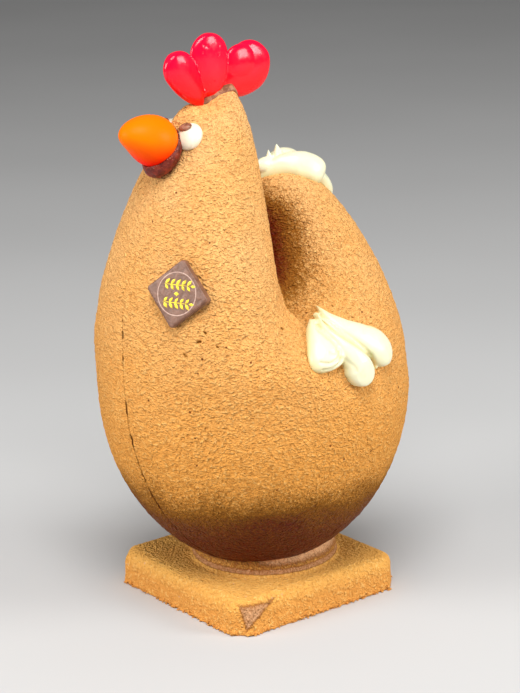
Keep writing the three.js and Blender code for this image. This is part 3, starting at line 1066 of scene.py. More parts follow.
    def bareness_and_painted_light(self, points: Points) -> Points:
        """How little spray has reached each point, with painted shade under the egg and behind the neck.

        Args:
            points: Points in millimetres.

        Returns:
            A share from 0, fully sprayed, to 1, partly unsprayed chocolate and partly painted shade.
        """
        height = points[:, 2]
        # Darker towards the bottom: partly unsprayed chocolate, partly painted shade under the egg.
        under = 1 - ease(height, *self.bare_and_shade_heights)
        waver = np.clip(3 * under * (1 - under), 0, 1)
        under += 0.2 * ripple(points * [1, 1, 1.6], 15.0, 41.0) * waver
        across = bearing_of(points) - self.blotch[0]
        level = (height - self.blotch[1]) / self.blotch_size[1]
        under += 0.24 * np.exp(-(across / self.blotch_size[0]) ** 2 - level ** 2)
        bearing = np.arctan2(points[:, 0], -(points[:, 1] - self.tail_centre(height)))
        pinched = self.scoop_at(height, bearing)
        off = self._off_neck(points)
        behind = ease(off, 0.25, 0.9)
        # Darker in the scoop behind the neck: partly unsprayed chocolate, partly painted shade from the
        # neck.
        deep = pinched * behind * (0.22 + 0.78 * np.exp(-off / self.hollow_fade))
        # Darker along the foot of the neck's rear edge: painted shade with thin spray.
        foot = behind * np.exp(-off / self.foot_fade)
        foot *= ease(height, *self.shade_from) * (1 - ease(height, *self.shade_to))
        return np.clip(under + 0.95 * deep + 0.35 * foot, 0, 1.2)

    def _mould_marks(self, half: bpy.types.Object) -> Points:
        """Press the seam and the small marks into a half.

        Args:
            half: The half of the body.

        Returns:
            How dark each point is for them, 0 to 1.
        """
        points = points_of(half)
        outward = normals_of(half)
        fade = 1 - ease(points[:, 2], *self.seam_ends)
        off_seam = points[:, 0] - self.seam_foot - self.seam_lean * points[:, 2]
        near = np.clip(1 - np.abs(off_seam) / self.seam_width, 0, 1)
        start = -0.5 + 0.6 * ease(points[:, 2], 60, 110)
        broken = ease(ripple(points * [0, 1, 1], 5.0, 3.0), start, 0.35)
        dark = near * fade * (0.25 + 0.75 * broken)
        depth = self.seam_depth * dark
        bearing = bearing_of(points)
        radius = np.hypot(points[:, 0], points[:, 1])
        for mark in self.marks:
            level = np.radians(bearing - mark.bearing) * radius
            rise = points[:, 2] - mark.height
            turn = math.radians(mark.turn)
            along = level * math.cos(turn) + rise * math.sin(turn)
            across = rise * math.cos(turn) - level * math.sin(turn)
            close = np.exp(-((2 * along / mark.length) ** 2 + (2 * across / mark.width) ** 2))
            depth += mark.depth * close
            dark = np.maximum(dark, close)
        move_points(half, points - outward * depth[:, None])
        return dark

    def _half(self, whole: bpy.types.Object, side: Side, finish: bpy.types.Material) -> None:
        """Cut one moulded half from the whole form, and close it at the seam.

        Args:
            whole: The whole form.
            side: Which half is kept.
            finish: The velvet that both halves share.
        """
        half = twin_of(whole, f"body_half_{side.name.lower()}")
        across = Vector((1, 0, -self.seam_lean)).normalized() * side.value
        edit_all(half, bpy.ops.mesh.bisect, plane_co=(self.seam_foot * MM, 0, 0), plane_no=across,
                 use_fill=True, clear_inner=True)
        dark = self._mould_marks(half)
        note(half, "bare_and_painted_light", np.maximum(self.bareness_and_painted_light(points_of(half)), dark))
        seat(half, finish, Slot.BODY, "body", sharp=55)

    def build(self) -> BVHTree:
        """Build both halves.

        Returns:
            The smooth skin under the grain, which carries the other pieces.
        """
        finish = VELVET_BODY.material()
        crown = bulge("crown_form", (64, 48), self.crown_radii, self.crown_centre, self.crown_tilt)
        whole = fuse("body_whole", [
            self._loft("neck_form", self.neck_point, self.egg_bottom, self.head_top, self.neck_rows),
            self._loft("tail_form", self.tail_point, self.tail_root, self.tail_top, self.tail_rows),
            crown,
        ], self.voxel, 3)
        points = points_of(whole)
        height = points[:, 2]
        foot = ease(height, *self.fold_from) * (1 - ease(height, *self.fold_to))
        weigh(whole, "foot", foot * ease(np.abs(bearing_of(points)), *self.fold_bearings))
        modify(whole, "SMOOTH", factor=0.5, iterations=self.foot_calm, vertex_group="foot")
        grow(whole, -self.inset)
        skin = skin_of(whole)
        points = points_of(whole)
        warped = points + np.stack([ripple(points, 7, seed) for seed in (31, 32, 33)], axis=-1)
        wrinkle = self.wrinkle_height * ripple(warped * [1, 1, 1.7], self.wrinkle_size, 21)
        raise_points(whole, wrinkle + 0.08 * ripple(points, 12, 23))
        for side in Side:
            self._half(whole, side, finish)
        bpy.data.objects.remove(whole)
        return skin


# ---------------------------------------------------------------- base


@dataclass
class Base:
    """The square moulded base with its collar, rough along its lower edge."""

    voxel: float = 0.5
    side: float = 90.0
    corner: float = 6.0
    grain: float = 0.12
    burr_heights: tuple[float, float] = (0.4, 3.2)
    burr_band: tuple[float, float] = (41.0, 43.5)
    burr: float = 1.3
    collar_radius: float = 31.4
    collar_offset: tuple[float, float] = (1.7, 3.0)
    collar_gap: float = 4.2
    crumbs: int = 560
    patch: tuple[tuple[float, float], ...] = ((-2.1, 13.6), (19.0, 13.4), (2.6, 1.6))

    def _close(self, points: Points, radius: Points, skin: BVHTree) -> None:
        """Draw the collar's inner wall up to the egg.

        Args:
            points: Points in millimetres, which are changed.
            radius: Their distance from the upright axis.
            skin: The egg's skin.
        """
        for index in np.nonzero((points[:, 2] > 19) & (radius < self.collar_radius))[0]:
            place, outward, _, distance = skin.find_nearest(Vector(points[index] * MM))
            if distance < self.collar_gap * MM:
                points[index] = np.array(place / MM) + np.array(outward) * 0.02

    def build(self, skin: BVHTree) -> None:
        """Build the base and the crumbs that cling to its lower edge.

        Args:
            skin: The egg's skin, which the collar meets.
        """
        slab = fuse("base_slab", [copy_of_node("base", "base_copy")], self.voxel, 5)
        points = points_of(slab)
        outward = normals_of(slab)
        low = 1 - ease(points[:, 2], *self.burr_heights)
        rough = np.clip(0.35 + 0.9 * ripple(points, 3.1, 1.0) + 1.1 * ripple(points, 1.2, 2.0), 0, 1.5)
        level = outward * [1, 1, 0]
        radius = np.hypot(points[:, 0], points[:, 1])
        rim = low * ease(np.max(np.abs(points[:, :2]), axis=1), *self.burr_band)
        rim *= 0.35 + 0.65 * ease(points[:, 0] - points[:, 1], 15, 80)
        points += level * (self.burr * rim * rough)[:, None]
        grainy = self.grain * (ripple(points, 1.5, 4.0) + ripple(points, 4.5, 5.0))
        points += outward * (grainy * ease(points[:, 2], 0.3, 1.2))[:, None]
        points[:, 2] = np.maximum(points[:, 2], 0)
        carried = (1 - ease(radius, 35, 43)) * (points[:, 2] > 8)
        points[:, :2] += carried[:, None] * np.array(self.collar_offset)
        self._close(points, radius, skin)
        move_points(slab, points)
        note(slab, "bare_and_painted_light", self._bareness_and_painted_light(points, radius))
        finish = VELVET_BASE.material()
        seat(slab, finish, Slot.BASE, "base")
        self._crumbs(finish)

    def _bareness_and_painted_light(self, points: Points, radius: Points) -> Points:
        """How little spray has reached each point of the base, with a painted highlight on the collar's
        lip and painted shade under it.

        Args:
            points: Points in millimetres.
            radius: Their distance from the upright axis.

        Returns:
            A share from 0, fully sprayed, to 1, unsprayed; on the collar's lip, a painted highlight.
        """
        on_collar = 1 - ease(radius, 33.5, 35.5)
        # Painted highlight: a pale line along the collar's top edge.
        lip = ease(points[:, 2], 21.2, 21.9)
        foot = 0.74 * ease(points[:, 2], 15.6, 16.4) * (1 - ease(points[:, 2], 17.6, 19.4))
        # Darker band under the lip: painted shade under the egg, with thin spray.
        band = 0.5 * ease(points[:, 2], 17.6, 19.4)
        collar = np.max([1.2 * lip, foot, band], axis=0) * on_collar
        from_corner = np.abs(bearing_of(points) - 45)
        shadow = (0.06 + 0.08 * ease(from_corner, 35, 75)) * (1 - ease(radius, 36, 54))
        shadow *= ease(points[:, 2], 14, 14.8)
        along = points[:, 0] + points[:, 1]
        inside = np.full(len(points), 9.0)
        corners = self.patch + self.patch[:1]
        for (x0, z0), (x1, z1) in zip(corners, corners[1:]):
            reach = (along - x0) * (z1 - z0) - (points[:, 2] - z0) * (x1 - x0)
            inside = np.minimum(inside, reach / math.hypot(x1 - x0, z1 - z0))
        inside += 0.5 * ripple(points, 3.0, 14.0)
        patch = 0.78 * ease(inside, -1.0, 1.8) * (points[:, 0] > 36) * (points[:, 1] < 0)
        return np.clip(np.max([collar, shadow, patch], axis=0), 0, 1.2)

    def _crumbs(self, finish: bpy.types.Material) -> None:
        """Model one crumb, and copy it along the lower edge.

        Args:
            finish: The base's own finish.
        """
        draw = random.Random(7)
        half = self.side / 2
        crumbs = []
        for _ in range(self.crumbs):
            edge = draw.randrange(4)
            along = draw.uniform(-half + self.corner, half - self.corner)
            size = draw.uniform(0.28, 0.78) ** 1.3
            across = -half - draw.uniform(-0.6, 0.9)
            spot = Vector((along, across, size * 0.6 + draw.random() ** 2 * 1.6))
            spot.rotate(Matrix.Rotation(edge * math.pi / 2, 3, "Z"))
            bpy.ops.object.select_all(action="DESELECT")
            bpy.ops.mesh.primitive_ico_sphere_add(subdivisions=1, radius=MM)
            crumb = named("crumb")
            points = points_of(crumb)
            points *= 1 + 0.35 * ripple(points + [along, size, 0], 0.7)[:, None]
            turn = math.degrees(draw.uniform(0, 6.28))
            points = turned(points * [size, size * draw.uniform(0.6, 1), size * 0.7], turn, "Z")
            move_points(crumb, points + np.array(spot))
            crumbs.append(crumb)
        piece = joined("base_crumbs", crumbs)
        points = points_of(piece)
        points[:, 2] = np.maximum(points[:, 2], 0)
        move_points(piece, points)
        note(piece, "bare_and_painted_light", 0.0)
        seat(piece, finish, Slot.BASE)


# ---------------------------------------------------------------- face and comb


@dataclass
class Beak:
    """A short blunt egg, set on the face in a bed of dark chocolate."""

    length: float = 26.6
    radius: float = 10.5
    fullness: float = 0.2
    centre: tuple[float, float] = (-51.8, 206.5)
    tilt: float = 18.0
    flat_chin: float = 2.3
    bed_radii: tuple[float, float, float] = (9.0, 6.2, 11.2)
    bed_centre: tuple[float, float, float] = (0.8, -45.0, 200.5)
    bed_tilt: float = -32.0
    inset: float = 0.12
    bed_overlap: float = 0.05
    bed_voxel: float = 0.3
    froth_reach: float = 2.2
    bubbles: int = 26

    def form(self, name: str, clearance: float = 0.0) -> bpy.types.Object:
        """Shape the beak.

        Args:
            name: The form's name.
            clearance: How far its skin is moved outward.

        Returns:
            The form.
        """
        beak = ball(name, 72, 56)
        unit = points_of(beak)
        along = unit[:, 2]
        radius = self.radius * (1 + self.fullness * along)
        points = np.stack([unit[:, 0] * radius, along * self.length / 2, -unit[:, 1] * radius], axis=-1)
        flank = np.exp(-((along + 0.6) / 0.5) ** 2) * np.clip(unit[:, 1], 0, 1)
        points[:, 2] += self.flat_chin * flank
        move_points(beak, turned(points, -self.tilt) + [0, *self.centre])
        if clearance:
            grow(beak, clearance)
        return beak

    def cut_from(self, piece: bpy.types.Object, clearance: float) -> None:
        """Cut the beak's own shape out of a piece.

        Args:
            piece: The piece that makes room for it.
            clearance: How much room is left all round, in millimetres.
        """
        cutter = self.form("beak_cutter", clearance)
        modify(piece, "BOOLEAN", operation="DIFFERENCE", object=cutter, solver="EXACT")
        bpy.data.objects.remove(cutter)

    def build(self, skin: BVHTree) -> None:
        """Build the beak and its bed.

        Args:
            skin: The face that carries them.
        """
        beak = self.form("beak_orange", -self.inset)
        press_on(beak, skin)
        seat(beak, ORANGE.material(), Slot.BEAK, "beak", sharp=70)
        self._bed(skin_of(beak), skin)

    def _bed(self, beak: BVHTree, skin: BVHTree) -> None:
        """Build the dark chocolate that the beak sits in.

        Args:
            beak: The beak's skin.
            skin: The face's skin.
        """
        form = bulge("bed_form", (48, 36), self.bed_radii, self.bed_centre, self.bed_tilt)
        self.cut_from(form, -self.bed_overlap)
        bed = fuse("beak_bed", [form], self.bed_voxel, 4)
        press_on(bed, skin)
        points = points_of(bed)
        outward = normals_of(bed)
        points += outward * (0.35 * ripple(points, 3.4, 6.0) + 0.12 * ripple(points, 1.1, 7.0))[:, None]
        froth = nearness(points, beak, self.froth_reach)
        draw = random.Random(11)
        near = np.nonzero(froth > 0.35)[0]
        for _ in range(self.bubbles):
            middle = points[near[draw.randrange(len(near))]]
            size = draw.uniform(0.3, 0.6)
            close = np.linalg.norm(points - middle, axis=1) / size
            points += outward * (0.3 * size * np.clip(1 - close ** 2, 0, 1) ** 0.5)[:, None]
        move_points(bed, points)
        note(bed, "froth", froth)
        seat(bed, BEAK_GLUE.material(), Slot.BEAK_GLUE, "beak_glue", sharp=70)


@dataclass
class Eyes:
    """White drops on both sides of the head, each with a brown drop on it."""

    height: float = 206.4
    bearing: float = 22.6
    radii: tuple[float, float, float] = (5.3, 5.7, 4.2)
    proud: float = 0.4
    pupil_radii: tuple[float, float, float] = (2.8, 2.0, 1.3)
    pupil_forward: float = 1.0
    pupil_up: float = 2.3
    pupil_turn: float = 16.0
    pupil_depth: float = 0.1
    beak_gap: float = 0.25
    shaded_heights: tuple[float, float] = (200.5, 203.0)

    def _drop(self, name: str, radii: tuple[float, float, float], placed: Matrix,
              side: Side) -> bpy.types.Object:
        """Shape a drop and set it in place.

        Args:
            name: The drop's name.
            radii: Its half sizes.
            placed: Its frame on the hen's left.
            side: Which side it goes on.

        Returns:
            The drop.
        """
        drop = ball(name, 56, 40)
        unit = points_of(drop)
        crown = 1 - 0.06 * np.clip(unit[:, 2], 0, 1) ** 3
        unit[:, :2] *= (1 + 0.05 * (1 - np.abs(unit[:, 2])))[:, None]
        unit[:, 2] *= crown
        move_points(drop, placed_by(unit * radii, placed) * [side.value, 1, 1])
        if side is Side.RIGHT:
            edit_all(drop, bpy.ops.mesh.flip_normals)
        return drop

    def build(self, body: HenBody, beak: Beak, skin: BVHTree) -> None:
        """Build the eyes and pupils.

        Args:
            body: The hen, for the place on her head.
            beak: The beak, which the eyes keep clear of.
            skin: The head's skin.
        """
        on_head = body.frame_on(body.neck_point, self.height, math.radians(self.bearing))
        on_head = on_head @ Matrix.Translation((0, 0, self.proud))
        a, b, c = self.radii
        x, y = -self.pupil_forward, self.pupil_up
        z = c * math.sqrt(1 - (x / a) ** 2 - (y / b) ** 2)
        outward = Vector((x / a ** 2, y / b ** 2, z / c ** 2)).normalized()
        across = Vector((0, 1, 0)).cross(outward).normalized()
        on_eye = Matrix((across, outward.cross(across), outward)).transposed().to_4x4()
        on_eye.translation = (x, y, z)
        on_eye = on_eye @ Matrix.Rotation(math.radians(self.pupil_turn), 4, "Z")
        white, brown = EYE_WHITE.material(), PUPIL.material()
        for side in Side:
            hand = side.name.lower()
            eye = self._drop(f"eye_drop_{hand}", self.radii, on_head, side)
            beak.cut_from(eye, self.beak_gap)
            press_on(eye, skin)
            note(eye, "crease_shade", 0.6 * (1 - ease(points_of(eye)[:, 2], *self.shaded_heights)))
            seat(eye, white, Slot.EYE, f"eye_{hand}", sharp=60)
            pupil = self._drop(f"pupil_drop_{hand}", self.pupil_radii, on_head @ on_eye, side)
            press_on(pupil, skin_of(eye), self.pupil_depth)
            note(pupil, "froth", 0.0)
            seat(pupil, brown, Slot.PUPIL, f"pupil_{hand}", sharp=60)


@dataclass(frozen=True)
class CombLobe:
    """One teardrop of the comb. It leans in degrees from upright, positive toward the rear.

    The lower its slimness, the sooner it widens from its tip.
    """

    y: float
    height: float
    length: float
    radius: float
    thickness: float
    lean: float
    x: float
    slimness: float


@dataclass(frozen=True)
class CombPad:
    """A swelling that joins the teardrops, with its half sizes across, along and up, and its tilt."""

    y: float
    height: float
    radii: tuple[float, float, float]
    tilt: float


@dataclass
class Comb:
    """Three puffed teardrops fused at their tips, on a ribbon of set chocolate."""

    lobes: tuple[CombLobe, ...] = (
        CombLobe(-24.2, 216.3, 28.2, 7.7, 6.8, -34, 1.3, 0.82),
        CombLobe(-18.0, 217.6, 28.9, 9.6, 6.4, -4.7, 0.2, 0.7),
        CombLobe(-14.7, 222.4, 29.1, 11.2, 6.8, 65, -0.9, 0.6),
    )
    pads: tuple[CombPad, ...] = (
        CombPad(-3.2, 232.0, (3.1, 9.2, 8.2), 0), CombPad(-24.8, 222.0, (2.4, 7.0, 3.1), 20),
    )
    voxel: float = 0.34
    inset: float = 0.12
    pits: int = 16
    pit_depth: float = 0.18
    ribbon_voxel: float = 0.26
    ribbon: tuple[tuple[float, float, float], ...] = (
        (-29.0, 2.0, 0.5), (-25.0, 3.1, 0.8), (-20.0, 3.3, 1.1), (-15.0, 3.4, 1.4),
        (-10.0, 3.7, 2.1), (-4.2, 3.3, 1.5),
    )

    def _lobe(self, lobe: CombLobe) -> bpy.types.Object:
        """Shape one teardrop.

        Args:
            lobe: Its sizes.

        Returns:
            The teardrop.
        """
        form = ball("comb_lobe", 64, 56)
        unit = points_of(form)
        from_tip = lobe.length * (1 + unit[:, 2]) / 2
        turn = np.arctan2(unit[:, 0], -unit[:, 1])
        centre = lobe.length - lobe.radius
        taper = lobe.radius * np.clip(1 - (1 - from_tip / centre) ** 2, 0, 1) ** lobe.slimness
        cap = np.sqrt(np.clip(lobe.radius ** 2 - (from_tip - centre) ** 2, 0, None))
        half = np.where(from_tip < centre, taper, cap)
        depth = lobe.thickness / 2 * np.sqrt(half / lobe.radius)
        points = np.stack([depth * np.sin(turn), -half * np.cos(turn), from_tip], axis=-1)
        move_points(form, turned(points, -lobe.lean) + [lobe.x, lobe.y, lobe.height])
        return form

    def _ribbon(self, skin: BVHTree) -> bpy.types.Object:
        """Shape the set chocolate along the top of the head, under the comb.

        Args:
            skin: The head that carries it.

        Returns:
            The ribbon.
        """
        form = ball("ribbon_form", 40, 72)
        unit = points_of(form)
        share = (1 + unit[:, 2]) / 2
        stations = np.array(self.ribbon)
        places = np.linspace(stations[0, 0], stations[-1, 0], 60)
        tops = [skin.ray_cast(Vector((0, place, 300)) * MM, Vector((0, 0, -1)))[0].z / MM
                for place in places]
        y = stations[0, 0] + (stations[-1, 0] - stations[0, 0]) * share
        crest = np.interp(y, places, tops)
        closing = np.sqrt(np.clip(1 - (2 * share - 1) ** 6, 0, None))
        half = np.interp(y, stations[:, 0], stations[:, 1]) * closing
        thick = np.interp(y, stations[:, 0], stations[:, 2]) * closing
        turn = np.arctan2(unit[:, 1], unit[:, 0])
        drop = 0.055 * (half * np.cos(turn)) ** 2
        points = np.stack([half * np.cos(turn), y, crest - drop + thick * (0.4 + np.sin(turn))], axis=-1)
        move_points(form, points)
        return fuse("comb_ribbon", [form], self.ribbon_voxel, 3)

    def build(self, skin: BVHTree) -> None:
        """Build the comb and its ribbon.

        Args:
            skin: The head that carries them.
        """
        forms = [self._lobe(lobe) for lobe in self.lobes]
        forms += [bulge("comb_pad", (48, 36), pad.radii, (0, pad.y, pad.height), pad.tilt)
                  for pad in self.pads]
        comb = fuse("comb_red", forms, self.voxel, 5)
        grow(comb, -self.inset)
        press_on(comb, skin)
        points = points_of(comb)
        outward = normals_of(comb)
        draw = random.Random(5)
        for _ in range(self.pits):
            y, z = draw.uniform(-27, -10), draw.uniform(222, 243)
            close = np.hypot(points[:, 1] - y, points[:, 2] - z) / draw.uniform(0.35, 0.7)
            points -= outward * (self.pit_depth * np.exp(-close ** 2))[:, None]
        move_points(comb, points)
        seat(comb, RED.material(), Slot.COMB, "comb", sharp=75)
        ribbon = self._ribbon(skin)
        press_on(ribbon, skin)
        raise_points(ribbon, 0.2 * ripple(points_of(ribbon), 3.0, 8.0))
        note(ribbon, "froth", 0.0)
        seat(ribbon, COMB_GLUE.material(), Slot.COMB_GLUE, "comb_glue", sharp=75)


# ---------------------------------------------------------------- piped chocolate


def piped_swell(share: float, pull: float) -> float:
    """How a piped lobe swells from its pulled tip to its round end.

    Args:
        share: How far along it is, 0 to 1.
        pull: How slowly it swells.

    Returns:
        The share of its full size.
    """
    fullest = (pull / (pull + LOBE_ROUNDNESS / 2)) ** (1 / LOBE_ROUNDNESS)
    top = fullest ** pull * math.sqrt(1 - fullest ** LOBE_ROUNDNESS)
    return share ** pull * math.sqrt(max(1 - share ** LOBE_ROUNDNESS, 0)) / top


def spline(stations: Sequence[Vector], share: float) -> tuple[Vector, Vector]:
    """A point of a smooth path, and its direction there.

    Args:
        stations: The places that the path passes.
        share: How far along, from 0 to 1, by stations.

    Returns:
        The point and the unit direction.
    """
    spans = len(stations) - 1
    span = min(int(share * spans), spans - 1)
    t = share * spans - span
    p1, p2 = stations[span], stations[span + 1]
    p0 = stations[span - 1] if span else p1 * 2 - p2
    p3 = stations[span + 2] if span + 2 <= spans else p2 * 2 - p1
    point = 0.5 * ((2 * p1) + (p2 - p0) * t + (2 * p0 - 5 * p1 + 4 * p2 - p3) * t ** 2
                   + (3 * p1 - p0 - 3 * p2 + p3) * t ** 3)
    slope = 0.5 * ((p2 - p0) + 2 * (2 * p0 - 5 * p1 + 4 * p2 - p3) * t
                   + 3 * (3 * p1 - p0 - 3 * p2 + p3) * t ** 2)
    return point, slope.normalized()


def piped_lobe(name: str, stations: Sequence[Vector], outward_at: Callable[[Vector], Vector],
               half_width: float, thickness: float, pull: float) -> bpy.types.Object:
    """Shape one piped lobe along a path.

    Args:
        name: The lobe's name.
        stations: The places that it passes, in millimetres.
        outward_at: Which way is outward at a place.
        half_width: Its half width.
        thickness: How far it stands out.
        pull: How slowly it swells from its tip.

    Returns:
        The lobe.
    """
    form = ball(name, 48, 64)
    unit = points_of(form)
    share = (1 + unit[:, 2]) / 2
    turn = np.arctan2(unit[:, 1], unit[:, 0])
    points = np.empty_like(unit)
    for level in np.unique(np.round(share, 6)):
        members = np.nonzero(np.abs(share - level) < 2e-6)[0]
        reached = float(np.clip(level, 0, 1))
        centre, forward = spline(stations, reached)
        across = forward.cross(outward_at(centre)).normalized()
        outward = across.cross(forward)
        swell = piped_swell(reached, pull)
        side = np.cos(turn[members])[:, None] * np.array(across) * half_width * swell
        lift = np.sin(turn[members])
        lift = np.where(lift < 0, LOBE_UNDERSIDE * lift, lift)
        rise = lift[:, None] * np.array(outward) * thickness * math.sqrt(swell)
        points[members] = np.array(centre) + side + rise
    move_points(form, points)
    return form


@dataclass(frozen=True)
class WingLobe:
    """One lobe of a wing, by places [along the flank, up] from the wing's centre."""

    stations: tuple[tuple[float, float], ...]
    half_width: float
    thickness: float
    pull: float


@dataclass(frozen=True)
class Fold:
    """A fold pressed into a wing along places [along, up], with its depth and width."""

    places: tuple[tuple[float, float], ...]
    depth: float
    width: float

    def sink(self, along: Points, up: Points) -> Points:
        """How far the fold sinks each place.

        Args:
            along: Places along the flank.
            up: Places upward.

        Returns:
            One depth for each place.
        """
        nearest = np.full(len(along), 1e9)
        for (x0, y0), (x1, y1) in zip(self.places, self.places[1:]):
            span = (x1 - x0) ** 2 + (y1 - y0) ** 2
            share = np.clip(((along - x0) * (x1 - x0) + (up - y0) * (y1 - y0)) / span, 0, 1)
            gap = np.hypot(along - x0 - share * (x1 - x0), up - y0 - share * (y1 - y0))
            nearest = np.minimum(nearest, gap)
        return self.depth * np.exp(-(nearest / self.width) ** 2)


@dataclass
class Wings:
    """Three piped lobes on each flank."""

    height: float = 118.0
    bearing: float = 84.0
    voxel: float = 0.28
    inset: float = 0.15
    lobes: tuple[WingLobe, ...] = (
        WingLobe(((-2.4, 18.9), (1.0, 14.4), (6.6, 10.0), (14.2, 5.6), (22.3, 0.4), (27.0, -7.4)),
                 7.6, 4.9, 0.9),
        WingLobe(((-4.4, 16.4), (-2.4, 12.6), (1.6, 7.2), (5.2, 2.4), (8.6, -2.4), (9.8, -7),
                  (9.4, -12.2)), 7.4, 6.3, 0.85),
        WingLobe(((-7.6, 14.8), (-7.8, 11), (-6.8, 6.4), (-5.6, 1.8), (-3.8, -3.6)), 8.9, 5.3, 1.0),
    )
    droplets: tuple[tuple[float, float, float], ...] = (
        (20.3, -6.6, 1.1), (-3.6, 15.4, 1.7), (-6.4, 13.2, 2.0),
    )
    reach: float = 69.4
    shade_reach: float = 4.2
    folds: tuple[Fold, ...] = (
        Fold(((-3.6, 15.0), (-2.0, 12.8), (1.8, 9.8), (6.6, 6.2), (10.8, 2.8), (15.0, -1.2),
              (18.4, -6.8)), 1.5, 1.15),
        Fold(((-7.0, 12.4), (-5.4, 11.0), (-3, 8.4), (-1.4, 5.2), (-0.9, 1.1)), 1.0, 0.9),
        Fold(((-6.4, 4.9), (-3.5, 4.6), (-1.2, 6.2)), 0.4, 0.6),
        Fold(((-10.2, 1.6), (-6.8, 1.0), (-3.2, 2.2), (-1.2, 4.4)), 0.6, 0.6),
        Fold(((-9.2, -1.6), (-5.6, -1.4), (-2.6, 0.0), (-1.0, 2.0)), 0.6, 0.55),
        Fold(((0.1, 1.6), (4.0, -2.0), (4.9, -4.0)), 0.35, 0.8),
    )

    def _on_flank(self, body: HenBody, along: float, up: float) -> Vector:
        """The point of the flank at a place from the wing's centre.

        Args:
            body: The hen.
            along: How far along the flank.
            up: How far up.

        Returns:
            The point.
        """
        height = np.array([self.height + up])
        bearing = math.radians(self.bearing) + along / body.radius_at(height)
        return Vector(body.tail_point(height, bearing)[0])

    def build(self, body: HenBody, skin: BVHTree) -> None:
        """Build both wings.

        Args:
            body: The hen, for the place on her flanks.
            skin: The flank's skin.
        """
        def outward_at(point: Vector) -> Vector:
            """Which way is outward at a point of the flank."""
            placed = body.frame_on(body.tail_point, point.z, math.atan2(point.x, -point.y))
            return placed.to_3x3().col[2].copy()

        forms = []
        for lobe in self.lobes:
            stations = [self._on_flank(body, *station) for station in lobe.stations]
            forms.append(piped_lobe("wing_lobe", stations, outward_at, lobe.half_width, lobe.thickness,
                                    lobe.pull))
        forms += [bulge("wing_droplet", (24, 16), (radius,) * 3, self._on_flank(body, along, up))
                  for along, up, radius in self.droplets]
        wing = fuse("piped_wing_left", forms, self.voxel, 2)
        grow(wing, -self.inset)
        sunk = self._pleat(body, wing)
        press_on(wing, skin)
        other = twin_of(wing, "piped_wing_right")
        move_points(other, points_of(other) * [-1, 1, 1])
        edit_all(other, bpy.ops.mesh.flip_normals)
        finish = WHITE.material()
        for piece, side in ((wing, Side.LEFT), (other, Side.RIGHT)):
            # Painted shade: yellower near the body and in the pressed folds.
            near = nearness(points_of(piece), skin, self.shade_reach)
            note(piece, "crease_shade", np.maximum(near, sunk))
            seat(piece, finish, Slot.PIPED, f"wing_{side.name.lower()}", sharp=75)

    def _pleat(self, body: HenBody, wing: bpy.types.Object) -> Points:
        """Press the folds into a wing.

        Args:
            body: The hen, for the places on her flank.
            wing: The wing.

        Returns:
            How far each point sank, as a share from 0 to 1.
        """
        points = points_of(wing)
        outward = normals_of(wing)
        height = points[:, 2]
        bearing = np.arctan2(points[:, 0], body.tail_centre(height) - points[:, 1])
        along = (bearing - math.radians(self.bearing)) * body.radius_at(height)
        sunk = sum(fold.sink(along, height - self.height) for fold in self.folds)
        move = 0.14 * ripple(points, 4.2, 9.0) - sunk
        points += outward * move[:, None]
        points[:, 0] -= 0.5 * np.clip(points[:, 0] - self.reach, 0, None)
        move_points(wing, points)
        modify(wing, "SMOOTH", factor=0.5, iterations=1)
        return np.clip(0.6 * sunk, 0, 1)


@dataclass(frozen=True)
class TailLobe:
    """One lobe of the tail feathers: its bearing, its reach and its sizes."""

    bearing: float
    reach: float
    half_width: float
    thickness: float


@dataclass(frozen=True)
class Spike:
    """A pulled tip: its place along the ridge, its height and its foot's radius."""

    y: float
    height: float
    radius: float


